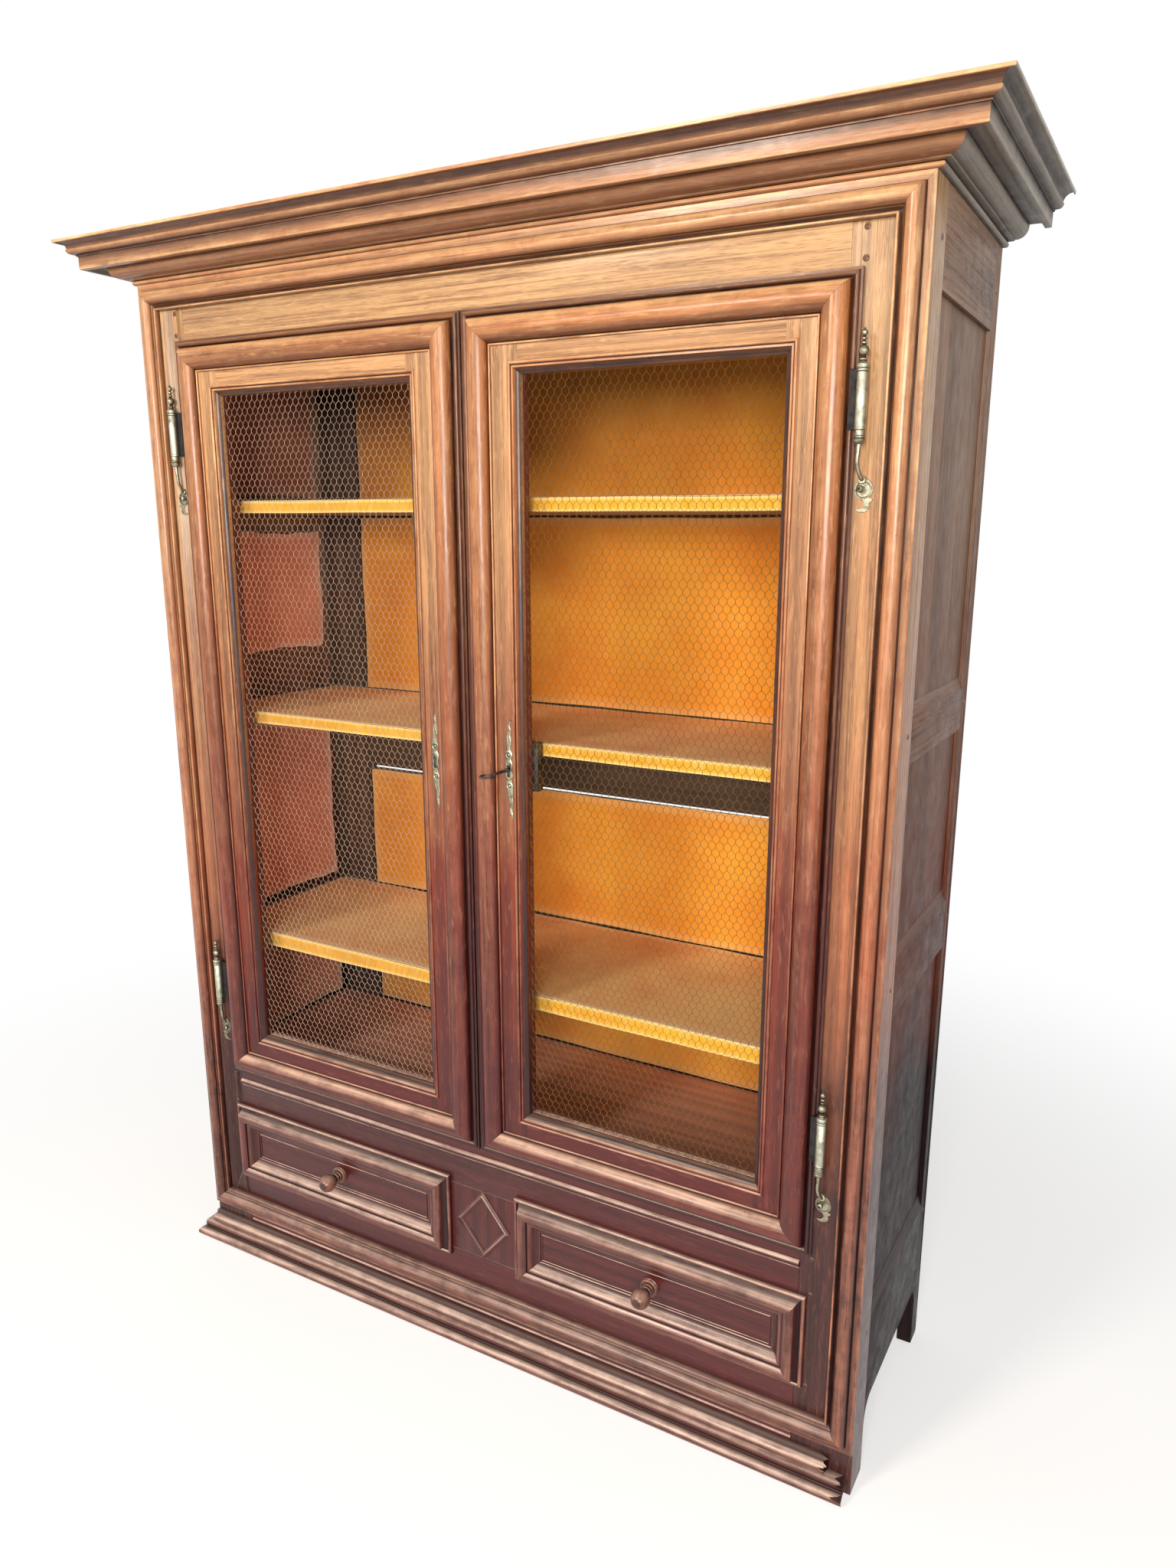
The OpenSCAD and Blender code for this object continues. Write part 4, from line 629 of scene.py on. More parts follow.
# %% Lengths
class Mouldings:
    """Collects lengths of moulding and makes one mesh of them."""

    def __init__(self):
        self.verts, self.faces, self.wood, self.wear, self.dirt_and_shade = [], [], [], [], []

    def length(self, profile, starts, ends, out, seed, step=0.04, waver=0.00022, gap=0.0002,
               marked=None, jagged=0.0):
        """One length: where each profile point starts and ends, and the way its face looks."""
        starts, ends, out = (np.array(v, float) for v in (starts, ends, out))
        way = ends - starts
        size = np.linalg.norm(way, axis=1).max()
        way = way[np.linalg.norm(way, axis=1).argmax()] / size
        starts = starts + way * gap
        ends = ends - way * gap
        rng = random.Random(seed)
        if jagged:
            ends = ends + way * np.array([[-jagged * rng.random() ** 2] for _ in profile])
        count = max(2, int(size / step))
        worn_and_lit, dirty_and_shaded = marked or marks(profile)
        jump = board_jump(seed)
        phase = [rng.uniform(0, 6.28) for _ in range(3)]
        flat = np.array(profile, float) * MM
        self.faces += closed_strip(len(self.verts), count + 1, len(profile))
        for k in range(count + 1):
            share = k / count
            ring = starts + (ends - starts) * share
            along = size * share
            lift = waver * (math.sin(along * 7.3 + phase[0])
                            + 0.6 * math.sin(along * 17.1 + phase[1]))
            lift *= math.sin(math.pi * share) ** 0.4 if 0 < share < 1 else 0
            rub_and_highlight = 0.75 + 0.25 * math.sin(along * 3.1 + phase[2])
            for i, (across, height) in enumerate(flat):
                self.verts.append(ring[i] + out * lift * min(1, height / 0.004))
                run = float(np.dot(ring[i] - starts[i], way)) + across
                self.wood.append(np.array([run, across, height]) + jump)
                self.wear.append(worn_and_lit[i] * rub_and_highlight)
                self.dirt_and_shade.append(dirty_and_shaded[i])

    def ring(self, profile, low, high, y, seed, shaded_rim=0.0):
        """Four mitred lengths round an upright rectangle, facing -Y. Painted shade, with no
        highlight, lies along the first shaded_rim millimetres, where the edge of a door lies in
        shadow."""
        worn_and_lit, dirty_and_shaded = marks(profile)
        rim = np.array(profile)[:, 0] < shaded_rim
        marked = np.where(rim, 0.0, worn_and_lit), np.where(rim, np.maximum(dirty_and_shaded, 0.62), dirty_and_shaded)
        corners = [(low[0], low[1]), (high[0], low[1]), (high[0], high[1]), (low[0], high[1])]
        for i in range(4):
            a, b = np.array(corners[i]), np.array(corners[(i + 1) % 4])
            way = (b - a) / np.linalg.norm(b - a)
            inward = np.array([-way[1], way[0]])
            starts, ends = [], []
            for d, h in profile:
                p = a + (way + inward) * d * MM
                q = b + (-way + inward) * d * MM
                starts.append((p[0], y - h * MM, p[1]))
                ends.append((q[0], y - h * MM, q[1]))
            self.length(profile, starts, ends, FORWARD, seed * 10 + i, marked=marked)

    def piece(self, name, body, material, node):
        """One mesh of all the lengths, which stands for a node."""
        mesh = outward_mesh(name, self.verts, self.faces)
        for mark in ("wood", "wear", "dirt_and_shade"):
            store(mesh, mark, getattr(self, mark))
        print(name, "has", len(mesh.polygons), "faces")
        return finish_mesh(name, body, material, mesh, (node,), 32)


print("ready to run mouldings")

# %% [markdown]
# ## The moulding round the front
#
# A flat strip, a bold round, a small cove and a raised inner arris, 48 mm wide in all. It covers
# the joint between the posts and rails and frames the whole front like a picture. The profile is
# drawn from its outer edge inwards, in millimetres, and runs round as four lengths.

# %% Frame moulding
frame_profile = ([(0, 0), (0, 5.2), (0.8, 6.0), (11.2, 6.0), (12, 5.2), (12, 4), (13, 4)]
                 + turn(25, 8.5, 12, 180, 0, 24) + [(37.2, 7.2)] + turn(44, 11.6, 6.6, 190, 268, 8)
                 + [(44.2, 11.2)] + turn(46, 10.2, 1.8, 160, 20, 6) + [(48, 9.4), (48, 0)])
lengths = Mouldings()
lengths.ring(frame_profile, (-HALF_W, FRAME_LOW), (HALF_W, FRAME_HIGH), FACE_Y, 101)
lengths.piece("frame_moulding_lengths", "case", moulded_oak, "frame_moulding")

# %% [markdown]
# ## The doors' mouldings
#
# Each door carries a large moulding that laps over the case, with a round as thick as a broom
# handle, and a small one round the net. The large one starts with a bead at its outer edge and
# ends in a fine bead on the flat of the frame. Both doors are mirror images, but each length is
# cut from its own board, so the grain differs.

# %% Door mouldings
door_profile = ([(0, 0), (0, 4.6), (0.5, 5), (3.5, 5)] + turn(7.8, 5, 4, 180, 0, 14) + [(12.4, 4.2)]
                + turn(34, 5.5, 20, 178, 9, 30) + [(54.2, 8.6)] + turn(56.2, 9.8, 1.8, 180, 0, 8)
                + [(58, 8), (19.5, 8), (19.5, 0)])
stick_profile = ([(0, 0), (0, 8)] + turn(2.4, 8.4, 2.4, 180, 0, 12) + [(4.8, 6.5), (6.2, 6.5)]
                 + [(6.2, 8)] + turn(19.2, 11.2, 10.7, 197, 262, 12) + [(18, 0)])
SEAT = 0.4 * MM             # how far a moulding's back stands off the face of the case
# Painted shade, with no highlight, along the door's outer bead and the quirk beside it
SHADED_RIM = 12.6            # the door's outer bead and the quirk beside it
STICK_W = 18 * MM           # width of the small moulding round the net
for side, sign in SIDES:
    low_x, high_x = sorted((sign * DOOR_LOW[0], sign * DOOR_HIGH[0]))
    net_x = sorted(sign * x for x in WINDOW_X)
    lengths = Mouldings()
    lengths.ring(door_profile, (low_x, DOOR_LOW[2]), (high_x, DOOR_HIGH[2]), FACE_Y - SEAT,
                 111 + sign, SHADED_RIM)
    lengths.ring(stick_profile, (net_x[0] - STICK_W, WINDOW_Z[0] - STICK_W),
                 (net_x[1] + STICK_W, WINDOW_Z[1] + STICK_W), FACE_Y - SEAT, 121 + sign)
    lengths.piece(side + "_door_moulding_lengths", side + "_door", door_moulded,
                  side + "_door_moulding")

# %% [markdown]
# ## Drawer fronts
#
# Each drawer shows a plain panel inside a heavy moulding: a bead, a steep hollow side, a broad
# round and an ogee that falls to the panel, where a fine raised line runs round it. The panel is
# one wide board with its grain lying along the drawer.

# %% Drawer fronts
drawer_profile = ([(0, 0), (0, 5)] + turn(3.5, 5, 3.5, 180, 0, 12) + turn(-5, 20.2, 20, -49, -3, 8)
                  + turn(23, 9, 14, 123, 44, 16) + [(33.2, 16.6), (34.2, 16.6)]
                  + turn(36, 9, 8, 98, 20, 10) + turn(53.9, 15.5, 11, 198, 268, 12)
                  + [(55, 4.5), (56, 3.5), (56, 2), (15, 2), (15, 0)])
line_profile = [(0, 0), (0, 0.8)] + turn(1.1, 0.7, 1.0, 165, 15, 6) + [(2.2, 0.8), (2.2, 0)]
PANEL_LIFT = 2.4 * MM       # how far the panel stands before the face of the case
LINE_INSET = 58.5 * MM      # from the drawer's edge to the fine line
PANEL_INSET = 15.2 * MM     # the panel runs on under the moulding


def plank(mould, low, high, seed):
    """A plain unworn board along X, as one more length in a set of mouldings."""
    w, t = (high[2] - low[2]) / MM, (high[1] - low[1]) / MM
    section = [(0, 0), (0, t - 0.8), (0.8, t), (w - 0.8, t), (w, t - 0.8), (w, 0)]
    starts, ends = ([(x, high[1] - h * MM, low[2] + d * MM) for d, h in section]
                    for x in (low[0], high[0]))
    mould.length(section, starts, ends, FORWARD, seed, step=0.6, waver=0, gap=0,
                 marked=(np.zeros(6), np.zeros(6)))


for side, sign in SIDES:
    low_x, high_x = sorted((sign * DRAWER_LOW[0], sign * DRAWER_HIGH[0]))
    low_z, high_z = DRAWER_LOW[2], DRAWER_HIGH[2]
    lengths = Mouldings()
    lengths.ring(drawer_profile, (low_x, low_z), (high_x, high_z), FACE_Y - SEAT, 131 + sign)
    lengths.ring(line_profile, (low_x + LINE_INSET, low_z + LINE_INSET),
                 (high_x - LINE_INSET, high_z - LINE_INSET), FACE_Y - PANEL_LIFT, 141 + sign)
    plank(lengths, (low_x + PANEL_INSET, FACE_Y - PANEL_LIFT, low_z + PANEL_INSET),
          (high_x - PANEL_INSET, FACE_Y + 20 * MM, high_z - PANEL_INSET), 151 + sign)
    lengths.piece(side + "_drawer_front_boards", side + "_drawer", base_oak, side + "_drawer_front")

# %% [markdown]
# ## The cornice
#
# The cornice leans out over the front and both sides. From below: a small bead, a quarter round,
# a deep soffit with a drip groove, a flat fascia, and an ogee up to the top edge. Its front
# length is mitred to two side lengths that stop flush with the back.

# %% Cornice
cornice_profile = ([(0, 0), (5, 0)] + turn(5, 4, 4, -90, 90, 12) + [(6, 8), (17, 8.5), (18, 10.5)]
                   + turn(20, 28, 18, -90, 0, 14) + [(38, 30), (53.5, 30)]
                   + turn(53.5, 22, 8, 90, 0, 8) + [(69, 22)] + turn(70, 23.5, 1.5, -90, 0, 4)
                   + [(71.5, 44), (74, 44), (74, 46.4), (76.5, 47)] + turn(78.5, 55, 8, -80, -8, 12)
                   + turn(99, 54, 14.4, 172, 92, 12)
                   + [(100, 65), (101.6, 65.2), (102, 65.8), (102, 70), (0, 70)])


def standing_marks(profile):
    """Wear and painted highlight, and dirt and painted shade, where the profile stands out
    sideways, as on a cornice or a plinth.
    """
    return marks([(z, o) for o, z in profile], reach=7.0, depth=4.0)


def front_points(profile, x, z, spread=0.0):
    """Where a front profile starts or ends. Spread is -1 or 1 where it is mitred to a side."""
    return [(x + spread * o * MM, FACE_Y - o * MM, z + h * MM) for o, h in profile]


def side_points(profile, sign, y, z):
    """Where a side profile ends at a depth y. Without a y it is mitred to the front."""
    return [(sign * (HALF_W + o * MM), FACE_Y - o * MM if y is None else y, z + h * MM)
            for o, h in profile]


cornice = Mouldings()
cornice_marks = standing_marks(cornice_profile)
cornice.length(cornice_profile, front_points(cornice_profile, -HALF_W, FRAME_HIGH, -1),
               front_points(cornice_profile, HALF_W, FRAME_HIGH, 1), FORWARD, 161,
               marked=cornice_marks)
cornice.piece("cornice_front_length", "case", moulded_oak, "cornice_front")
for side, sign in SIDES:
    returned = Mouldings()
    returned.length(cornice_profile, side_points(cornice_profile, sign, None, FRAME_HIGH),
                    side_points(cornice_profile, sign, BACK_Y, FRAME_HIGH), (sign, 0, 0),
                    163 + sign, marked=cornice_marks)
    returned.piece("cornice_" + side + "_length", "case", return_oak, "cornice_" + side)

# %% [markdown]
# ## The plinth
#
# Two members run along the foot of the front, and both have lost their right-hand ends: damp and
# brooms have eaten them. The broken ends are made by letting each point of the profile stop at
# its own place. At the left the lower one turns the corner and runs a little way back.

# %% Plinth
lower_profile = ([(0, 0), (28, 0), (30, 0)] + turn(26, 9, 9, -62, 62, 14) + [(23, 18), (23, 20.5)]
                 + turn(5, 27.5, 17, -24, 30, 10) + [(15, 36), (0, 36)])
upper_profile = ([(0, 36), (14, 36)] + turn(12, 44, 8, -80, 75, 14)
                 + [(12, 53), (8, 53.5), (6, 60), (0, 60)])
RETURN_RUN = 0.06           # how far the lower member runs back along the left side
plinth = Mouldings()
lower_marks = standing_marks(lower_profile)
plinth.length(lower_profile, front_points(lower_profile, -HALF_W, 0, -1),
              front_points(lower_profile, span("plinth_lower")[1][0] - 1 * MM, 0), FORWARD, 171,
              marked=lower_marks, jagged=0.022, waver=0.0004)
plinth.length(lower_profile, front_points(lower_profile, -HALF_W, 0, -1),
              side_points(lower_profile, -1, FACE_Y + RETURN_RUN, 0), (-1, 0, 0), 172,
              marked=lower_marks)
plinth.piece("plinth_lower_lengths", "case", base_oak, "plinth_lower")
upper = Mouldings()
upper.length(upper_profile, front_points(upper_profile, -HALF_W, 0),
             front_points(upper_profile, span("plinth_upper")[1][0], 0), FORWARD, 173,
             marked=standing_marks(upper_profile), jagged=0.016)
upper.piece("plinth_upper_length", "case", base_oak, "plinth_upper")

# %% [markdown]
# ## The diamond between the drawers
#
# Four short strips are planted on the board between the drawers as a diamond. The two on the
# right are crisp, the upper left one is rubbed almost flat and the lower left one has lost most
# of its height, so each arm has a height of its own.

# %% Diamond
diamond_low, diamond_high = span("diamond_moulding")
half_x = diamond_high[0]
half_z = (diamond_high[2] - diamond_low[2]) / 2
mid_z = (diamond_high[2] + diamond_low[2]) / 2
tilt = math.atan2(half_z, half_x)
strip_profile = ([(0, 0), (0, 3.0), (0.6, 3.6), (2.6, 3.6), (3.2, 4.4)]
                 + turn(5.5, 3.6, 2.3, 160, 20, 8)
                 + [(7.8, 4.4), (8.4, 3.6), (10.4, 3.6), (11, 3.0), (11, 0)])
diamond = Mouldings()
for number, (sx, sz, left) in enumerate(((1, 1, 1.0), (1, -1, 1.0), (-1, 1, 0.72), (-1, -1, 0.4))):
    section = [(d, h * left) for d, h in strip_profile]
    starts = [(sx * (half_x - d * MM / math.sin(tilt)), FACE_Y - h * MM, mid_z) for d, h in section]
    ends = [(0, FACE_Y - h * MM, mid_z + sz * (half_z - d * MM / math.cos(tilt)))
            for d, h in section]
    diamond.length(section, starts, ends, FORWARD, 181 + number, step=0.02, waver=0.0002)
diamond.piece("diamond_strips", "case", base_oak, "diamond_moulding")

# %% [markdown]
# ## Cloth
#
# The inside is lined with plain-woven cotton, tacked to the boards: orange on the back, and on
# the sides a pinker terracotta copy of the same cotton, painted as it looks in shade. Each shelf
# has a tan cover, and on its front edge a mustard strip, a copy of the shelf cloth painted as it
# looks where sun lights it. The cloth was cut by hand, so its edges waver and have frayed to a pale
# line. Real threads are half a millimetre apart, too fine to show, so they are drawn 2.4 mm apart,
# as a bump and a faint change of tone. Cotton has no shine of its own and a soft sheen at grazing
# angles.

# %% Woven cotton
THREAD = 0.0024


def cotton(name, hex_colour, pale, deep, across=0, up=2):
    """Plain weave over two of the object's axes; attributes mark its pale frayed edges and its
    painted shade.
    """
    material, t = new_material(name)
    place = add(t, "ShaderNodeTexCoord").outputs["Object"]
    edge = add(t, "ShaderNodeAttribute", attribute_name="edge").outputs["Fac"]
    painted_shade = add(t, "ShaderNodeAttribute", attribute_name="painted_shade").outputs["Fac"]
    parts = add(t, "ShaderNodeSeparateXYZ", place).outputs
    threads = []
    for axis in (across, up):
        turned = add(t, "ShaderNodeMath", parts[axis], 2 * math.pi / THREAD, operation="MULTIPLY")
        threads.append(add(t, "ShaderNodeMath", turned, operation="SINE"))
    weave = add(t, "ShaderNodeMath", *threads, operation="MULTIPLY")
    hanging = add(t, "ShaderNodeVectorMath", place, (30.0, 30.0, 8.0), operation="MULTIPLY")
    slub = add(t, "ShaderNodeTexNoise", hanging, Scale=4.0, Detail=3.0)
    patch = add(t, "ShaderNodeTexNoise", place, Scale=4.5, Detail=4.0, Roughness=0.6)
    # Painted shade: darker where the painted_shade attribute says, broken up by large patches
    painted_shade = add(t, "ShaderNodeMath", painted_shade, 0.12, operation="SUBTRACT")
    painted_shade = add(t, "ShaderNodeMath", patch, 0.25, painted_shade, operation="MULTIPLY_ADD")
    tone = linear(hex_colour)
    for share, over in (
            (add(t, "ShaderNodeMapRange", patch, From_Min=0.35, From_Max=0.7), deep),
            (add(t, "ShaderNodeMapRange", slub, From_Min=0.45, From_Max=0.75, To_Max=0.35), pale),
            (add(t, "ShaderNodeMapRange", weave, From_Min=-1.0, To_Max=0.16), deep),
            (edge, pale), (painted_shade, "#5A3226")):
        tone = add(t, "ShaderNodeMix", share, tone, linear(over), data_type="RGBA")
    relief = add(t, "ShaderNodeMath", slub, 1.4, weave, operation="MULTIPLY_ADD")
    bumped = add(t, "ShaderNodeBump", Height=relief, Strength=0.35, Distance=0.0006)
    skin = add(t, "ShaderNodeBsdfPrincipled", Base_Color=tone, Normal=bumped, Roughness=0.92,
               Sheen_Weight=0.06, Sheen_Roughness=0.5)
    add(t, "ShaderNodeOutputMaterial", Surface=skin)
    return material


back_cotton = cotton("cotton_orange_lining", "#FFB032", "#FFBA68", "#FA921C")
# The sides' lining is a pinker copy of the orange cotton, painted as it looks in shade
shaded_side_cotton = cotton("cotton_side_lining_painted_shaded", "#FFA882", "#FCC4A8", "#E07C56", across=1)
# The shelves' front strips are a mustard copy of the shelf cloth, painted as it looks where sun
# lights it
sunlit_strip_cotton = cotton("cotton_strip_painted_sunlit", "#F0B02A", "#FFDC8A", "#DC9A1C")
top_cotton = cotton("cotton_tan_shelf_cover", "#FFD68A", "#FFDCA8", "#F4A860", up=1)
print("cottons:", [made.name for made in (back_cotton, shaded_side_cotton, sunlit_strip_cotton, top_cotton)])

# %% [markdown]
# ## How a cloth is made
#
# One solid holds several cloths, so the boxes of its loose parts are found first, by walking from
# point to point along the edges. Each panel is a fine grid, a little smaller than its box, with a
# wavering rim, soft puckers that grow towards the top, and a thickness of under a millimetre. It
# could be simulated, but a cloth that is tacked flat to boards hardly hangs.

# %% Cloth panels
def loose_parts(node):
    """The boxes of a solid's separate pieces: lowest first, then leftmost, then foremost."""
    bm = welded(node)
    left, boxes = set(bm.verts), []
    while left:
        first = left.pop()
        group, todo = [first], [first]
        while todo:
            for v in [v for e in todo.pop().link_edges for v in e.verts if v in left]:
                left.discard(v)
                group.append(v)
                todo.append(v)
        co = np.array([v.co[:] for v in group])
        boxes.append((co.min(0), co.max(0)))
    bm.free()
    return sorted(boxes, key=lambda b: [round(b[0][axis], 3) for axis in (2, 0, 1)])


def cloth_panel(name, low, high, flat_axis, front, material, seed, replaces,
                pucker=0.0012, wave=0.003, hem=0.0, lift=0.0, painted_shade=(0, 0, 0)):
    """A thin panel of cloth in the box low-high, flat on one axis, with its face towards front.
    Hem is a pale band at its left end, lift raises its top right corner, and painted_shade is how
    much shade is painted on it at the bottom, at the top and, on top of that, at the left."""
    thick, frayed, cell = 0.8 * MM, 4.5 * MM, 20 * MM
    rng = random.Random(seed)
    u_axis, v_axis = [a for a in (0, 1, 2) if a != flat_axis]
    size_u, size_v = high[u_axis] - low[u_axis], high[v_axis] - low[v_axis]
    nu, nv = max(8, int(size_u / cell)), max(4, int(size_v / cell))
    phases = [rng.uniform(0, 6.28) for _ in range(8)]
    wave = min(wave, size_v * 0.08)
    back = high[flat_axis] if front < 0 else low[flat_axis]

    def rim(x, k):
        return wave * (0.5 + 0.3 * math.sin(x * 9 + phases[k])
                       + 0.2 * math.sin(x * 31 + phases[k + 1]))

    verts, edge, shade_values = [], [], []
    for j in range(nv + 1):
        for i in range(nu + 1):
            u, v = i / nu, j / nv
            p = [0, 0, 0]
            p[u_axis] = low[u_axis] + rim(v, 0) + u * (size_u - rim(v, 0) - rim(v, 2))
            p[v_axis] = low[v_axis] + rim(u, 4) + v * (size_v - rim(u, 4) - rim(u, 6))
            p[v_axis] += lift * u ** 0.7 * v ** 6
            puff = 0.5 + 0.5 * math.sin(u * size_u * 40 + phases[1]
                                        + 2 * math.sin(v * 5 + phases[3]))
            p[flat_axis] = back + front * pucker * puff * (0.35 + 0.65 * v)
            verts.append(p)
            near = min(u * size_u, (1 - u) * size_u, v * size_v, (1 - v) * size_v)
            edge.append(1.0 if near < frayed or u * size_u < hem else 0.0)
            shade_values.append(painted_shade[0] + (painted_shade[1] - painted_shade[0]) * v ** 1.6 + painted_shade[2] * (1 - u) ** 1.5)
    for p in verts[:]:
        q = list(p)
        q[flat_axis] += front * thick
        verts.append(q)
    mesh = outward_mesh(name, verts, closed_sheet(nu, nv))
    store(mesh, "edge", edge * 2)
    store(mesh, "painted_shade", shade_values * 2)
    piece = finish_mesh(name, "case", material, mesh, (replaces,), 60)


print("cloths on the back:", len(loose_parts("lining_back")))

# %% [markdown]
# ## Hanging the cloths
#
# The back and both sides are lined in four heights, and each height has its own painted shade,
# most of all near the top. On a shelf the tan cover lies on the board, and the mustard strip, a
# copy of the cloth painted as sunlit, covers the board's front edge.

# %% Linings and shelf cloths
LEVELS = "bottom", "low", "middle", "top"
# Painted shade on each height of lining: at its bottom, at its top, and more towards its left
BACK_SHADE = (0.25, 0.3, 0.3), (0, 0, 0.25), (0, 0.1, 0.3), (0.1, 0.62, 0.45)
SIDE_SHADE = (0.3, 0.4, 0), (0.05, 0.2, 0.1), (0, 0.1, 0.1), (0.55, 0.9, 0)
COVER = 1.2 * MM            # how thick the cloth lies on a shelf, its air included
STRIP_SAG = 7 * MM          # the lowest strip has sagged below its shelf
for i, (low, high) in enumerate(loose_parts("lining_back")):
    cloth_panel("back_lining_" + LEVELS[i], low, high, 1, -1, back_cotton,
                200 + i, "lining_back", hem=14 * MM,
                painted_shade=BACK_SHADE[i], lift=9 * MM if LEVELS[i] == "low" else 0)
for side, sign in SIDES:
    for i, (low, high) in enumerate(loose_parts("lining_" + side)):
        cloth_panel(side + "_lining_" + LEVELS[i], low, high, 0, -sign, shaded_side_cotton,
                    210 + i + 5 * (sign < 0), "lining_" + side, wave=8 * MM, painted_shade=SIDE_SHADE[i])
for i, (low, high) in enumerate(loose_parts("shelf_cloths")):
    shelf = ("lower", "middle", "upper")[i]
    cloth_panel("shelf_cover_" + shelf, (low[0], low[1], high[2] - COVER), high, 2, 1, top_cotton,
                230 + i, "shelf_cloths",
                pucker=0.7 * MM)
    cloth_panel("shelf_strip_" + shelf,
                (low[0], low[1], low[2] - (STRIP_SAG if shelf == "lower" else 0)),
                (high[0], low[1] + COVER, high[2] - 1.0 * MM), 1, -1, sunlit_strip_cotton,
                240 + i, "shelf_cloths", pucker=0.4 * MM,
                wave=1.2 * MM)

# %% [markdown]
# ## Metals
#
# The hinges and escutcheons are cast brass, gone brown in the hollows and rubbed paler on top,
# and the hinge barrels are engraved all over with fine scales. The lock, the key and the bolts are
# wrought iron, dark and dull, and the hinge blades are darker still, as painted shadow beside the
# barrels. The net is tinned iron wire in two copies: a paler one in the left door, painted as lit,
# and a darker yellowish one in the right door, painted as shaded. One function makes them all: a
# clear metal with a cloudy stain that is duller than the metal, and a bump for the file marks and
# pits of hand work.

# %% Metals
def worked_metal(name, bright, dark, rough, spread=90.0, engraved=0.0, metallic=1.0):
    """An old metal: rubbed bright on top, brown where polish and dust have settled."""
    material, t = new_material(name)
    place = add(t, "ShaderNodeTexCoord").outputs["Object"]
    dirt_and_shade = add(t, "ShaderNodeAttribute", attribute_name="dirt_and_shade").outputs["Fac"]
    cloud = add(t, "ShaderNodeTexNoise", place, Scale=spread, Detail=5.0, Roughness=0.65)
    stain = add(t, "ShaderNodeMapRange", cloud, From_Min=0.42, From_Max=0.68, To_Max=0.85)
    stain = add(t, "ShaderNodeMath", stain, dirt_and_shade, operation="MAXIMUM")
    tone = add(t, "ShaderNodeMix", stain, linear(bright), linear(dark), data_type="RGBA")
    fine = add(t, "ShaderNodeTexNoise", place, Scale=700.0, Detail=2.0)
    height = add(t, "ShaderNodeMath", cloud, 0.8, fine, operation="MULTIPLY_ADD")
    if engraved:
        # Scales 1.4 mm wide
        cells = add(t, "ShaderNodeTexVoronoi", place, feature="DISTANCE_TO_EDGE", Scale=1 / 0.0014)
        cut = add(t, "ShaderNodeMapRange", cells, From_Max=0.25, To_Min=-engraved, To_Max=0.0)
        height = add(t, "ShaderNodeMath", height, cut, operation="ADD")
    bumped = add(t, "ShaderNodeBump", Height=height, Strength=0.5, Distance=0.0003)
    gloss = add(t, "ShaderNodeMapRange", stain, To_Min=rough, To_Max=rough + 0.3)
    skin = add(t, "ShaderNodeBsdfPrincipled", Base_Color=tone, Roughness=gloss, Normal=bumped,
               Metallic=metallic)
    add(t, "ShaderNodeOutputMaterial", Surface=skin)
    return material


# Cast brass: a warm grey-yellow with brown hollows
old_brass = worked_metal("cast_brass_aged", "#B4AE96", "#3A342A", 0.34)
engraved_brass = worked_metal("engraved_brass_barrel", "#CCCDB9", "#66624E", 0.36, spread=60.0,
                              engraved=0.9)
# Forged iron: nearly black, with dull grey rubbed edges
wrought_iron = worked_metal("wrought_iron_dark", "#6A6660", "#2C2622", 0.42)
# The hinge blades' iron is darker still, as painted shadow beside the barrels
shadow_dark_iron = worked_metal("strap_iron_painted_shadow", "#2A2624", "#171413", 0.6, metallic=0.3)
# Tinned wire: dulled by corrosion, so only partly metallic to the eye
# The left net's wire is painted paler, as lit, and the right one's darker and yellower, as shaded
net_wires = {"left": worked_metal("tinned_wire_painted_lit", "#D2BCA8", "#A08A78", 0.45, spread=40.0,
                                  metallic=0.35),
             "right": worked_metal("tinned_wire_painted_shaded", "#90794A", "#5E4A30", 0.45, spread=40.0,
                                   metallic=0.35)}
print("wires:", net_wires["left"].name, net_wires["right"].name)

# %% [markdown]
# ## One cell of the wire net
#
# The net is chicken wire with openings of half an inch: 33 across each door and 111 up. It is
# made of one cell, a pair of wires twisted round each other and two wires that part from it. The
# wire is 0.8 mm thick, and as there are thousands of cells, it has only three sides.

# %% The net's cell
PITCH = 13.22 * MM          # from one opening to the next
ROW = 11.46 * MM            # from one row to the next
TWIST = 6.2 * MM            # length of the twisted part
WIRE = 0.4 * MM             # radius


def wire_through(points, verts, faces):
    """A three-sided wire through some points in X and Z."""
    base, sides, front = len(verts), 3, Vector(FORWARD)
    pts = [Vector(p) for p in points]
    for i, p in enumerate(pts):
        way = (pts[min(i + 1, len(pts) - 1)] - pts[max(i - 1, 0)]).normalized()
        flat = way.cross(-front).normalized()
        for k in range(sides):
            a = math.radians(90 + 120 * k)
            verts.append(p + flat * WIRE * math.cos(a) + front * WIRE * math.sin(a))
    for i in range(len(pts) - 1):
        for k in range(sides):
            a, b = base + i * sides + k, base + i * sides + (k + 1) % sides
            faces.append((a, b, b + sides, a + sides))


cell_verts, cell_faces = [], []
half, aside, lap = TWIST / 2, 0.5 * MM, 0.3 * MM
for hand in (-1, 1):
    wire_through([(hand * aside, -hand * lap, -half), (-hand * aside * 0.8, hand * lap, 0),
                  (hand * aside * 0.6, -hand * lap, half)], cell_verts, cell_faces)
for hand in (-1, 1):
    wire_through([(hand * aside * 0.6, 0, half), (hand * (PITCH / 2 - aside), 0, ROW - half)],
                 cell_verts, cell_faces)
cell_mesh = bpy.data.meshes.new("net_cell")
cell_mesh.from_pydata([tuple(v) for v in cell_verts], [], cell_faces)
cell = in_scene("net_cell", cell_mesh)
print("one cell has", len(cell_faces), "faces")

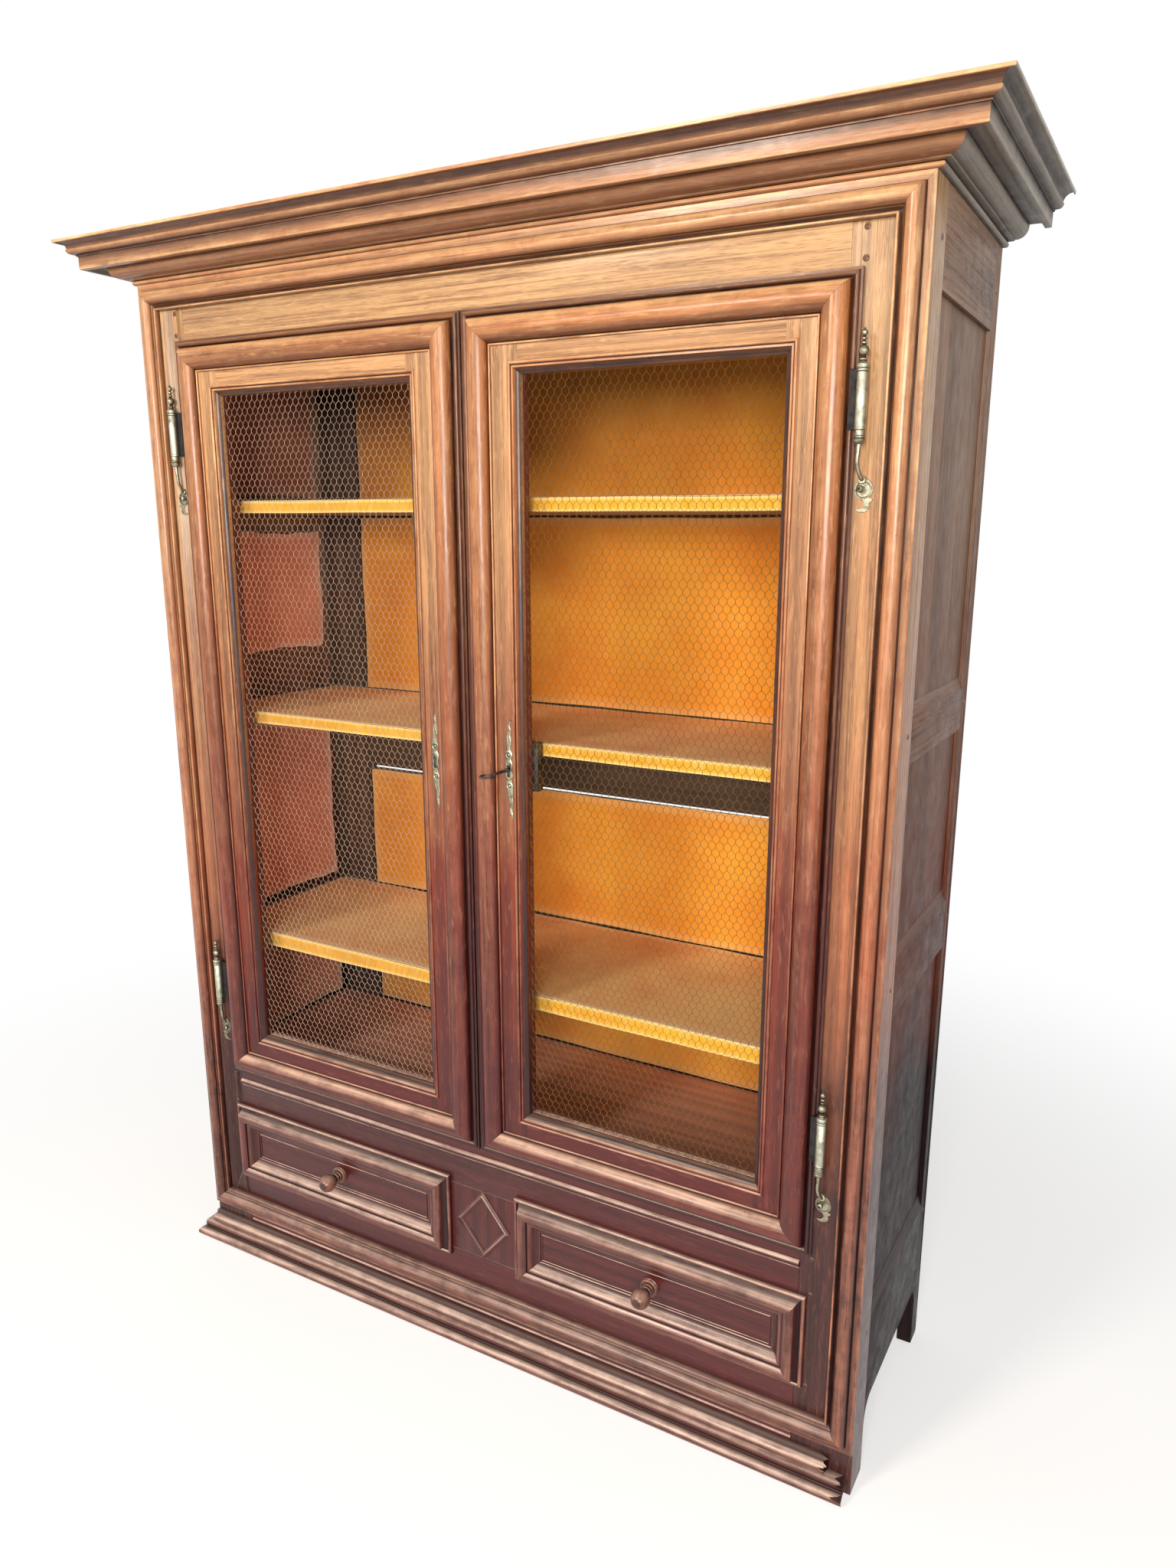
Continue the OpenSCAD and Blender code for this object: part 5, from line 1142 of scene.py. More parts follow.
# %% [markdown]
# ## The net's tree
#
# The cell repeats on a grid whose every other row is shifted by half a step. That is a rule, so
# Geometry Nodes lay the cells: a flat grid of points gives the places, each point is moved aside
# by its row's number and stood upright, and a cell is set on it. A little noise bends the rows,
# as a net pulled tight by hand does.

# %% Geometry Nodes helpers
def new_tree(name, sockets):
    """A tree that takes a geometry and these named inputs, and gives a geometry."""
    tree = bpy.data.node_groups.new(name, "GeometryNodeTree")
    for way in ("INPUT", "OUTPUT"):
        tree.interface.new_socket("Geometry", in_out=way, socket_type="NodeSocketGeometry")
    for label, kind in sockets.items():
        tree.interface.new_socket(label, in_out="INPUT", socket_type="NodeSocket" + kind)
    return tree


def applied(piece, name):
    """The mesh that an object's modifiers make of it."""
    bpy.context.view_layer.update()
    depsgraph = bpy.context.evaluated_depsgraph_get()
    shaped = bpy.data.meshes.new_from_object(piece.evaluated_get(depsgraph))
    shaped.name = name
    return shaped


def grown(holder, tree, name, values):
    """Runs a geometry tree on a holder object, which isn't needed afterwards, and returns its
    result as a plain mesh."""
    modifier = holder.modifiers.new("grow", "NODES")
    modifier.node_group = tree
    identifier = {item.name: item.identifier for item in tree.interface.items_tree
                  if item.in_out == "INPUT"}
    for label, value in values.items():
        modifier[identifier[label]] = value
    shaped = applied(holder, name)
    holder.modifiers.remove(modifier)
    bpy.data.objects.remove(holder)
    return shaped


print("geometry helpers ready")

# %% The net's tree
net_tree = new_tree("wire_net", {
    "Pitch": "Float", "Row height": "Float", "Columns": "Int", "Rows": "Int", "Middle": "Vector",
    "Slack": "Float", "Cell": "Object", "Finish": "Material"})
given = add(net_tree, "NodeGroupInput").outputs
gaps = [add(net_tree, "ShaderNodeMath", given[count], 1.0, operation="SUBTRACT")
        for count in ("Columns", "Rows")]
wide = add(net_tree, "ShaderNodeMath", given["Pitch"], gaps[0], operation="MULTIPLY")
tall = add(net_tree, "ShaderNodeMath", given["Row height"], gaps[1], operation="MULTIPLY")
spots = add(net_tree, "GeometryNodeMeshGrid", wide, tall, given["Columns"], given["Rows"])
where = add(net_tree, "ShaderNodeSeparateXYZ", add(net_tree, "GeometryNodeInputPosition")).outputs
# Every other row moves a quarter of a pitch to the left, and the rest a quarter to the right
low_edge = add(net_tree, "ShaderNodeMath", tall, 0.5, operation="MULTIPLY")
row = add(net_tree, "ShaderNodeMath", where["Y"], low_edge, operation="ADD")
row = add(net_tree, "ShaderNodeMath", row, given["Row height"], operation="DIVIDE")
row = add(net_tree, "ShaderNodeMath", row, operation="ROUND")
odd = add(net_tree, "ShaderNodeMath", row, 2.0, operation="FLOORED_MODULO")
odd = add(net_tree, "ShaderNodeMath", odd, 0.5, operation="SUBTRACT")
half_pitch = add(net_tree, "ShaderNodeMath", given["Pitch"], 0.5, operation="MULTIPLY")
aside = add(net_tree, "ShaderNodeMath", odd, half_pitch, operation="MULTIPLY")
moved = add(net_tree, "ShaderNodeMath", where["X"], aside, operation="ADD")
upright = add(net_tree, "ShaderNodeCombineXYZ", X=moved, Z=where["Y"])
place = add(net_tree, "ShaderNodeVectorMath", upright, given["Middle"], operation="ADD")
standing = add(net_tree, "GeometryNodeSetPosition", Geometry=spots, Position=place)
unit = add(net_tree, "GeometryNodeObjectInfo", Object=given["Cell"]).outputs["Geometry"]
laid = add(net_tree, "GeometryNodeInstanceOnPoints", Points=standing, Instance=unit)
real = add(net_tree, "GeometryNodeRealizeInstances", Geometry=laid)
bend = add(net_tree, "ShaderNodeTexNoise", add(net_tree, "GeometryNodeInputPosition"), Scale=14.0,
           Detail=1.0).outputs["Color"]
pull = add(net_tree, "ShaderNodeVectorMath", bend, (0.5, 0.5, 0.5), operation="SUBTRACT")
pull = add(net_tree, "ShaderNodeVectorMath", pull, operation="SCALE", Scale=given["Slack"])
slack = add(net_tree, "GeometryNodeSetPosition", Geometry=real, Offset=pull)
dressed = add(net_tree, "GeometryNodeSetMaterial", Geometry=slack, Material=given["Finish"])
add(net_tree, "NodeGroupOutput", Geometry=dressed)
print("net tree has", len(net_tree.nodes), "nodes")

# %% [markdown]
# ## The nets
#
# An object without any points holds the tree while it runs, and the result becomes a plain mesh
# that rides on its door. The two nets get their own wire and a slightly different slack.

# %% The nets
for side, sign in SIDES:
    middle = ((NET_LOW[0] + NET_HIGH[0]) / 2 * sign, (NET_LOW[1] + NET_HIGH[1]) / 2,
              (NET_LOW[2] + NET_HIGH[2]) / 2)
    holder = in_scene("net_holder", bpy.data.meshes.new("net_holder"))
    net_mesh = grown(holder, net_tree, side + "_net", {
        "Pitch": PITCH, "Row height": ROW, "Columns": 33, "Rows": 111, "Middle": middle,
        "Slack": 0.0016 + 0.0002 * sign, "Cell": cell, "Finish": net_wires[side]})
    net = in_scene(side + "_net", net_mesh)
    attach(net, side + "_door")
    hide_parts(side + "_door_mesh")
    print(net.name, "has", sum(len(p.vertices) - 2 for p in net_mesh.polygons), "triangles")
bpy.data.objects.remove(cell)

# %% [markdown]
# ## Turned and cast pieces
#
# Hinge barrels, knobs and bosses were turned or cast round, so they are lathed here: a half
# outline of radius and height is spun round an axis in equal steps and closed at both ends.
# Grooves in the outline are marked darker, for dirt and painted shade, by the same rule as the
# mouldings. Bent bars follow a smooth curve through a few points, and flat plates are outlines
# with an eased front edge.

# %% Lathe and tube
def between(p0, p1, p2, p3, u):
    """A point on a smooth curve from p1 to p2, a share u of the way."""
    return 0.5 * (2 * p1 + (p2 - p0) * u + (2 * p0 - 5 * p1 + 4 * p2 - p3) * u * u
                  + (3 * p1 - p0 - 3 * p2 + p3) * u ** 3)


class Metalwork:
    """Collects lathed and swept parts, with a mark for dirt and painted shade at each point."""

    def __init__(self):
        self.verts, self.faces, self.dirt_and_shade = [], [], []

    def lathe(self, outline, place, up=(0, 0, 1), segments=32):
        """Spins an outline of (radius, height) in millimetres round an axis."""
        _, sunk = marks([(h, r) for r, h in outline], 3.0, 0.8)
        up = Vector(up).normalized()
        side = Vector((1, 0, 0)) if abs(up.x) < 0.9 else Vector((0, 1, 0))
        across = up.cross(side).normalized()
        side = across.cross(up).normalized()
        self.faces += closed_strip(len(self.verts), len(outline), segments)
        for (r, h), dirt_and_shade in zip(outline, sunk):
            for k in range(segments):
                a = 2 * math.pi * k / segments
                self.verts.append(Vector(place) + up * h * MM + side * r * MM * math.cos(a)
                                  + across * r * MM * math.sin(a))
                self.dirt_and_shade.append(dirt_and_shade)

    def tube(self, points, radii, segments=16, flatten=1.0):
        """A round bar along a smooth path through some points, in metres."""
        pts = [Vector(p) for p in points]
        fine, wide, last = [], [], len(pts) - 1
        for i in range(last):
            near = pts[max(i - 1, 0)], pts[i], pts[i + 1], pts[min(i + 2, last)]
            for u in [s / 6 for s in range(6)]:
                fine.append(between(*near, u))
                wide.append(radii[i] + (radii[i + 1] - radii[i]) * u)
        fine.append(pts[-1])
        wide.append(radii[-1])
        self.faces += closed_strip(len(self.verts), len(fine), segments)
        side = (fine[1] - fine[0]).normalized().orthogonal().normalized()
        for i, p in enumerate(fine):
            way = (fine[min(i + 1, len(fine) - 1)] - fine[max(i - 1, 0)]).normalized()
            side = (side - way * side.dot(way)).normalized()
            across = way.cross(side)
            for k in range(segments):
                a = 2 * math.pi * k / segments
                self.verts.append(p + (side * math.cos(a) + across * math.sin(a) * flatten)
                                  * wide[i] * MM)
                self.dirt_and_shade.append(0.0)

    def slab(self, outline, y0, y1, ease=0.4):
        """A flat plate from an outline in X and Z (metres), between two depths, with the edge of
        its face at y0 eased."""
        n = len(outline)
        middle = Vector((sum(p[0] for p in outline) / n, 0, sum(p[1] for p in outline) / n))
        levels = (y1, 0.0), (y0 + ease * MM * (1 if y1 > y0 else -1), 0.0), (y0, ease * MM)
        self.faces += closed_strip(len(self.verts), len(levels), n)
        for y, inset in levels:
            for x, z in outline:
                inwards = Vector((middle.x - x, 0, middle.z - z)).normalized() * inset
                self.verts.append(Vector((x + inwards.x, y, z + inwards.z)))
                self.dirt_and_shade.append(0.15)

    def mesh(self, name):
        """One mesh of all the parts."""
        made = outward_mesh(name, self.verts, self.faces)
        store(made, "dirt_and_shade", self.dirt_and_shade)
        return made

    def piece(self, name, body, material, slot, *replaces):
        """The mesh as a finished piece, which stands for these nodes."""
        made = finish_mesh(name, body, material, self.mesh(name), replaces, 38)


print("lathe ready")

# %% [markdown]
# ## Hinges
#
# The doors hang on four tall lift-off hinges of cast brass. The upper barrel turns with the door
# and ends in an urn and a ball, and its long plain part is engraved all over with fine scales. An
# iron blade joins it to the door, painted near black as the shadow beside the barrel.

# %% Hinge barrels
HINGE_X = span("hinge_pintles")[1][0] - 7.5 * MM
HINGE_Y = FACE_Y - 17 * MM
DOOR_FOOT = 0.428
BARREL_Z = DOOR_FOOT + 0.172, DOOR_FOOT + 1.268
barrel_outline = ([(0, 0), (6.4, 0), (7.4, 0.5), (7.6, 2.6), (7.2, 3.2), (7.5, 4), (7.5, 72.0)]
                  + [(7.1, 72.6), (7.1, 73.6)] + turn(6.9, 75.2, 1.4, -90, 90, 6)
                  + [(7.0, 77.0), (8.4, 79.2), (8.5, 82.4), (7.6, 83.6), (5.2, 85.0)])
urn_outline = ([(5.2, 85.0), (4.4, 86.4)] + turn(4.2, 88.2, 1.5, -80, 80, 6)
               + [(3.2, 90.2), (3.0, 91.6)] + turn(0.4, 99.2, 6.6, -66, 58, 12)
               + [(3.0, 105.4), (2.4, 106.8)] + turn(2.2, 108.6, 1.6, -85, 85, 6)
               + [(1.8, 110.6), (1.7, 112.4)] + turn(1.8, 114.0, 1.9, -80, 80, 6) + [(1.6, 116.2)]
               + turn(0, 121.2, 4.3, -62, 62, 10)
               + [(1.2, 125.8), (1.3, 127.2), (0.4, 128.0), (0, 128.0)])
for side, sign in SIDES:
    barrels, urns, straps = Metalwork(), Metalwork(), Metalwork()
    for z in BARREL_Z:
        axis = (sign * HINGE_X, HINGE_Y, z)
        barrels.lathe(barrel_outline, axis, segments=40)
        urns.lathe(urn_outline, axis)
        # The blade that joins the barrel to the door, dark as a painted shadow
        a, b = sorted((sign * HINGE_X, sign * (HINGE_X - 19.0 * MM)))
        foot, head, blade_y = z + 0.6 * MM, z + 78.4 * MM, HINGE_Y + 4.8 * MM
        straps.slab([(a, foot), (b, foot), (b, head), (a, head)], blade_y, blade_y + 2.6 * MM)
    for name, part, finish in (("barrels_engraved", barrels, engraved_brass),
                               ("urns", urns, old_brass), ("straps", straps, shadow_dark_iron)):
        part.piece(side + "_hinge_" + name, side + "_door", finish, "aged_brass",
                   side + "_hinge_barrels")
print("barrels stand at", round(HINGE_X, 4), "on both sides")

# %% [markdown]
# ## Hinge pins and plates
#
# The lower half of a hinge stays on the case: a steel pin that stands up into the barrel, a collar
# that meets the barrel on a thin line, and a swan neck that lands on a leaf-shaped plate, held by
# a ball-headed nail. The neck is swept along a smooth curve, and the plate is cut to an outline.

# %% Hinge pins and plates
collar_outline = ([(0, -18.3), (4.8, -18.3), (6.0, -17.6), (8.2, -14.2), (8.5, -12.6), (7.6, -11.4)]
                  + [(7.2, -10.6)] + turn(6.9, -9.4, 1.3, -80, 80, 6) + [(7.2, -8.0), (7.5, -7.2)]
                  + [(7.5, -1.4), (7.2, -0.4), (6.2, -0.3), (0, -0.3)])
pin_outline = [(0, -1), (3, -1), (3, 54), (2.4, 55), (0, 55)]
landing_outline = [(0, 0), (5.2, 0)] + turn(4.2, 1.3, 1.3, -70, 90, 6) + [(3.0, 2.8), (0, 2.8)]
nail_outline = [(0, 0), (3.4, 0), (3.2, 1.0)] + turn(0, 5.2, 5.2, -50, 88, 14) + [(0, 10.4)]
rim_outline = [(9.6, -0.2), (9.6, 0.2)] + turn(10.8, 0.2, 0.9, 170, 10, 6) + [(11.9, -0.2)]
# The plate: a disc with a small head and a curling tail, in X and Z from where the neck lands
leaf_outline = ((3.6, 4.8), (6.2, 2.2), (10.4, -0.6), (14.2, -5.6), (15.6, -12.2), (14.4, -18.4),
                (10.6, -22.6), (12.6, -24.4), (14.8, -24.0), (15.4, -26.6), (12.8, -29.0),
                (11.6, -31.0), (12.2, -35.6), (9.2, -40.2), (3.8, -42.6), (-2.2, -42.4),
                (-7.6, -39.2), (-2.4, -39.0), (2.0, -36.8), (4.2, -33.0), (3.4, -29.2),
                (-0.2, -26.0), (-4.6, -23.6), (-8.6, -19.8), (-10.6, -14.2), (-10.2, -8.4),
                (-7.6, -3.2), (-4.2, 0.4), (-4.2, 4.0), (0, 6.2))
# The swan neck's middle line, from the collar down: outwards, back and up, and its radius
neck_line = ((0, 0, -17.8, 3.5), (-0.6, 0, -28, 3.0), (-1.4, 0.3, -39, 2.7), (-0.6, 2.4, -49, 2.7),
             (1.2, 7.4, -57, 2.8))
LANDING = 2.5 * MM, -64.0 * MM      # outwards from the hinge's axis, and down from its line
PLATE_THICK = 1.2 * MM


def leaf_plate(sign, x, z):
    """The outline of the leaf plate, smoothed."""
    n = len(leaf_outline)
    smooth = []
    for i in range(n):
        near = [np.array(leaf_outline[(i + k - 1) % n]) for k in range(4)]
        smooth += [between(*near, s / 4) for s in range(4)]
    return [(x + sign * across * MM, z + h * MM) for across, h in smooth]


pintles, plates = Metalwork(), Metalwork()
for sign in (-1, 1):
    for z in BARREL_Z:
        axis = Vector((sign * HINGE_X, HINGE_Y, z))
        x, foot = sign * (HINGE_X + LANDING[0]), z + LANDING[1]
        landing = Vector((x, FACE_Y - 1.3 * MM, foot))
        pintles.lathe(collar_outline, axis, segments=40)
        pintles.lathe(pin_outline, axis)
        neck = [axis + Vector((sign * out * MM, back * MM, up * MM))
                for out, back, up, _ in neck_line]
        pintles.tube(neck + [landing + Vector((0, -4.4 * MM, 2.2 * MM)), landing],
                     [r for *_, r in neck_line] + [3.0, 3.3])
        pintles.lathe(landing_outline, landing, up=(0, -1, 0.25))
        pintles.lathe(nail_outline, landing + Vector((-sign * 1.0 * MM, 0.3 * MM, -11.4 * MM)),
                      up=FORWARD)
        plates.slab(leaf_plate(sign, x, foot), FACE_Y - PLATE_THICK, FACE_Y, ease=0.5)
        hub = sign * (HINGE_X + 4.9 * MM), FACE_Y - PLATE_THICK, z - 76.7 * MM
        plates.lathe(rim_outline, hub, up=FORWARD, segments=40)
pintles.piece("hinge_pintles_cast", "case", old_brass, "aged_brass", "hinge_pintles")
plates.piece("hinge_leaf_plates", "case", old_brass, "aged_brass", "hinge_plates")
print("hinge plates land at", round(HINGE_X + LANDING[0], 4))

# %% [markdown]
# ## Escutcheons
#
# Two long brass escutcheons frame the keyholes: a flame that winds upwards, a scroll, a plate with
# the keyhole, a second scroll, and a tail that winds down. They were cast and chased. The plate
# is a fine grid bent to that outline: at each height it has a middle line and a width, as they
# were measured on the picture. Its face is crowned across the width, and the scrolls are raised
# rings round a button. The keyhole is cut through it with a Boolean, which keeps its edge crisp.

# %% The escutcheon's form
LEAF_Y = FACE_Y - 8.4 * MM
KEY_Z = 1.170
KEYHOLE_X = {"left": -0.07275, "right": 0.08175}
LEAF_REACH = 86.4           # how far it runs above and below its middle, in millimetres
# Height over the middle, shift of the middle line to the right, and half width, in millimetres
leaf_stations = (
    (-86.4, 4.0, 0.5), (-83.4, 5.4, 1.2), (-78.7, 5.2, 2.0), (-73.1, 3.4, 2.7), (-67.6, 2.8, 2.6),
    (-62.0, 4.0, 2.7), (-56.5, 4.4, 3.2), (-51.0, 3.2, 4.4), (-44.7, 2.0, 5.2), (-38.4, 1.6, 5.8),
    (-32.9, 1.0, 6.6), (-27.3, 0.7, 7.0), (-21.8, 0.4, 5.8), (-17.0, 0.2, 4.9), (-13.0, 0.2, 7.2),
    (-9.2, 0.1, 7.7), (-4.4, 0.1, 6.2), (0.3, 0.1, 5.9), (5.0, 0.1, 6.8), (9.8, 0.1, 7.6),
    (13.7, 0.1, 6.9), (17.7, 0.0, 4.6), (20.8, 0.0, 6.2), (25.6, 0.0, 7.6), (29.5, -0.1, 7.0),
    (34.3, -0.8, 4.8), (38.2, -0.4, 3.8), (43.0, 1.0, 4.0), (47.7, 1.3, 4.9), (52.4, 0.5, 4.8),
    (58.0, 0.0, 4.1), (63.5, 1.4, 3.0), (68.2, 3.2, 2.1), (73.0, 1.4, 2.2), (76.9, 1.2, 2.1),
    (81.7, 3.2, 1.5), (86.4, 6.0, 0.6))
# Where the scrolls sit, to the right and up, and their radius
scroll_spots = (0.0, 25.2, 6.4), (0.9, -28.2, 6.0)


def leaf_at(h):
    """The middle line and half width at a height, smoothly between the stations."""
    heights, shifts, widths = zip(*leaf_stations)
    i = max(0, min(len(heights) - 2, int(np.searchsorted(heights, h)) - 1))
    u = min(1.0, max(0.0, (h - heights[i]) / (heights[i + 1] - heights[i])))
    u = u * u * (3 - 2 * u)
    return shifts[i] + (shifts[i + 1] - shifts[i]) * u, widths[i] + (widths[i + 1] - widths[i]) * u


def hump(x, middle, width):
    """1 at the middle, and falling off smoothly to both sides."""
    return math.exp(-((x - middle) / width) ** 2)


def leaf_relief(x, h, share, width):
    """How far the face of an escutcheon stands out at a point, and how dirty it is there. Share is
    -1 and 1 at the edges."""
    out = 0.7 + 0.9 * (1 - abs(share) ** 2.4) * min(1, width / 3.5)
    hollow = 0.0
    for cx, cz, r in scroll_spots:
        d = math.hypot(x - cx, h - cz) / r
        if d < 1.25:
            dip = 0.9 * hump(d, 0.48, 0.15)
            out += 0.75 * hump(d, 0.82, 0.16) + 0.85 * hump(d, 0, 0.24) - dip
            hollow = max(hollow, dip)
    # A raised rim runs round the keyhole
    rim = abs(math.hypot(x - 0.1, max(abs(h + 1.5) - 9.5, 0)) - 5.6)
    if abs(h + 1.5) < 17:
        out += 0.5 * hump(rim, 0, 0.9)
    vein = 0.5 * hump(abs(share), 0.1, 0.16) if abs(h) > 38 and width > 2 else 0
    return max(0.4, out - vein), min(1, hollow * 1.1 + vein + (0.7 if abs(share) > 0.93 else 0))


def keyhole_outline(x):
    """A round hole drawn out upwards, over a slot that widens at its foot."""
    r = 4.1 * MM
    arc = [(x + r * math.cos(a), KEY_Z + 4 * MM + r * math.sin(a))
           for a in [math.radians(-20 + 220 * k / 16) for k in range(17)]]
    slot = [(2.8 * MM, 2 * MM), (2.4 * MM, 9 * MM), (3.2 * MM, 13 * MM)]
    return (arc + [(x - across, KEY_Z - down) for across, down in slot]
            + [(x + across, KEY_Z - down) for across, down in reversed(slot)])


print("escutcheons are", 2 * LEAF_REACH, "mm long")

# %% Escutcheons
def escutcheon(side, x):
    """A chased plate with its keyhole cut through."""
    plate = Metalwork()
    rows, across = 216, 18
    for j in range(rows + 1):
        h = -LEAF_REACH + 2 * LEAF_REACH * j / rows
        middle, width = leaf_at(h)
        for i in range(across + 1):
            share = -1 + 2 * i / across
            out, hollow = leaf_relief(middle + share * width, h, share, width)
            plate.verts.append(Vector((x + (middle + share * width) * MM, LEAF_Y - out * MM,
                                       KEY_Z + h * MM)))
            plate.dirt_and_shade.append(hollow)
    plate.dirt_and_shade += [1.0] * len(plate.verts)
    plate.verts += [Vector((v.x, LEAF_Y, v.z)) for v in plate.verts]
    plate.faces = closed_sheet(across, rows)
    cutter = Metalwork()
    cutter.slab(keyhole_outline(x), LEAF_Y - 8 * MM, LEAF_Y + 4 * MM, ease=0)
    whole = in_scene("whole", plate.mesh(side + "_whole_plate"))
    knife = in_scene("knife", cutter.mesh("knife"))
    cut = whole.modifiers.new("keyhole", "BOOLEAN")
    cut.operation, cut.object, cut.solver = "DIFFERENCE", knife, "EXACT"
    name = side + "_escutcheon_plate"
    done = applied(whole, name)
    for spare in (knife, whole):
        bpy.data.objects.remove(spare)
    finish_mesh(name, side + "_door", old_brass, done, (side + "_escutcheon",), 50)
    print("escutcheon at", round(x, 4), "has", len(done.polygons), "faces")


for side in ("right", "left"):
    escutcheon(side, KEYHOLE_X[side])

# %% [markdown]
# ## What lies behind the keyholes
#
# A thin dark plate lies just behind each hole, in its outline, as a painted shadow inside the
# keyhole. In the right door the key's shank goes through, so the plate there is in two parts,
# above and below.

# %% Keyhole shadow plates
hole = keyhole_outline(KEYHOLE_X["right"])
above_shank = [p for p in hole if p[1] > KEY_Z + 3.2 * MM]
under_shank = [(KEYHOLE_X["right"] + across * MM, KEY_Z - 3.2 * MM) for across in (-2.7, 2.7)]
below_shank = under_shank[:1] + [p for p in hole if p[1] < KEY_Z - 8 * MM] + under_shank[1:]
for side, parts in (("left", [keyhole_outline(KEYHOLE_X["left"])]),
                    ("right", [above_shank, below_shank])):
    shade_plate = Metalwork()
    for part in parts:
        shade_plate.slab(part, LEAF_Y - 0.12 * MM, LEAF_Y, ease=0)
    shade_plate.piece(side + "_keyhole_recess", side + "_door", wrought_iron, "dark_iron")
print("keyhole recesses made")

# %% [markdown]
# ## Key
#
# The key was left in the right door, with its bow lying flat, so the photograph sees it almost
# edge-on. Its shank tapers, with turned collars near the door, and its bow is a flattened oval
# ring, which is a bar swept round a closed path.

# %% Key
key_low, key_high = span("key")
key_x = KEYHOLE_X["right"]
bow_y = key_low[1] + 13 * MM
bow_w, bow_h = 11.6 * MM, 10.6 * MM
key = Metalwork()
shank_y = key_high[1], LEAF_Y - 10 * MM, bow_y + 30 * MM, bow_y + 12.5 * MM
key.tube([(key_x, y, KEY_Z) for y in shank_y], [2.6, 2.6, 2.3, 2.0])
for y, r in ((LEAF_Y - 7.5 * MM, 4.0), (LEAF_Y - 11.5 * MM, 3.3), (bow_y + 15.5 * MM, 3.6),
             (bow_y + 19.5 * MM, 3.0)):
    key.lathe([(2.2, -1.4)] + turn(r - 1.2, 0, 1.2, -90, 90, 6) + [(2.2, 1.4)], (key_x, y, KEY_Z),
              up=FORWARD, segments=24)
key.tube([(key_x + bow_w * math.sin(a), bow_y - bow_h * math.cos(a), KEY_Z)
          for a in [2 * math.pi * k / 18 for k in range(19)]], [1.9] * 19, segments=12,
         flatten=0.85)
# The bit that turns the lock
bit_w, bit_h = 10.6 * MM, 1.2 * MM
key.slab([(key_x, KEY_Z - bit_h), (key_x + bit_w, KEY_Z - bit_h), (key_x + bit_w, KEY_Z + bit_h),
          (key_x, KEY_Z + bit_h)], FACE_Y + 32.5 * MM, FACE_Y + 40 * MM, ease=0.2)
key.piece("key_forged", "key", wrought_iron, "dark_iron", "key")
print("key's bow at", round(bow_y, 4))

# %% [markdown]
# ## Lock and bolts
#
# The lock's case and bolt, the staples and the slide bolts are plain forged iron, so they keep
# their solids' shapes with eased edges. Four dome-headed screws hold the lock, each with a dimple
# in its head.

# %% Lock and bolts
for node in ("lock_case", "lock_bolt", "left_door_staples", "upper_bolt", "lower_bolt"):
    board(node, material=wrought_iron, ease=0.3, name=node + "_iron")
screw_outline = [(0, 0), (4.2, 0), (4.0, 0.8), (2.6, 1.6), (0.5, 1.7), (0.4, 1.0), (0, 1.0)]
screws = Metalwork()
lock_low, lock_high = span("lock_case")
for x in (lock_low[0] + 8 * MM, lock_high[0] - 22 * MM):
    for z in (lock_low[2] + 9 * MM, lock_high[2] - 9 * MM):
        screws.lathe(screw_outline, (x, lock_high[1], z), up=(0, 1, 0), segments=24)
screws.piece("lock_screws", "right_door", wrought_iron, "dark_iron")
print("lock case from", [round(v, 4) for v in lock_low], "to", [round(v, 4) for v in lock_high])

# %% [markdown]
# ## Knobs
#
# The drawer knobs are turned oak on a spindle: a wide foot, a bead, a waist, a ring and a ball a
# little flatter than round. They are lathed, and their grain runs along the spindle.

# %% Knobs
knob_wood = oak_wood("turned_oak_knob", "#84503A", "#84503A", "#84503A", streak="#3E2018",
                     pale_low="#D8B4A0", rough=0.3, ledge=0.5, silver=0.1)
ball = [(17.4 * math.cos(math.radians(a)), 37.6 + 17.6 * math.sin(math.radians(a)))
        for a in range(-60, 90, 6)]
knob_outline = ([(0, -20), (5.9, -20), (5.9, 0), (16.4, 0), (17.3, 0.9), (17.3, 2.4)]
                + turn(14.2, 5.4, 2.7, -50, 84, 8) + [(11.0, 8.4)] + turn(9.7, 9.9, 1.6, -80, 80, 6)
                + [(7.8, 12.2), (7.4, 14.2), (8.0, 15.2)] + turn(9.7, 16.8, 1.5, -100, 80, 8)
                + [(8.9, 19.0), (8.7, 21.0)] + ball + [(0, 55.2)])


def turned_grain(mesh, order, seed):
    """Marks a turned or split piece with the grain of one board, along the first axis of order."""
    store(mesh, "wood", [np.array([v.co[a] for a in order]) + board_jump(seed)
                         for v in mesh.vertices])


for side, sign in SIDES:
    knob_low, knob_high = span(side + "_drawer_knob")
    middle = [(a + b) / 2 for a, b in zip(knob_low, knob_high)]
    middle[1] = FACE_Y - PANEL_LIFT
    name = side + "_knob_turned"
    knob = Metalwork()
    knob.lathe(knob_outline, middle, up=FORWARD, segments=40)
    made = knob.mesh(name)
    turned_grain(made, (1, 0, 2), 300 + sign)
    finish_mesh(name, side + "_drawer", knob_wood, made, (side + "_drawer_knob",), 40)
    print(side, "knob at", [round(v, 4) for v in middle])

# %% [markdown]
# ## Pegs
#
# The pegs lock the tenons behind the posts. They were split rather than turned, so each is a
# slightly different many-sided shape that stands proud. Geometry Nodes set one on each spot, aimed
# by an attribute of the spot, with its own turn and size.

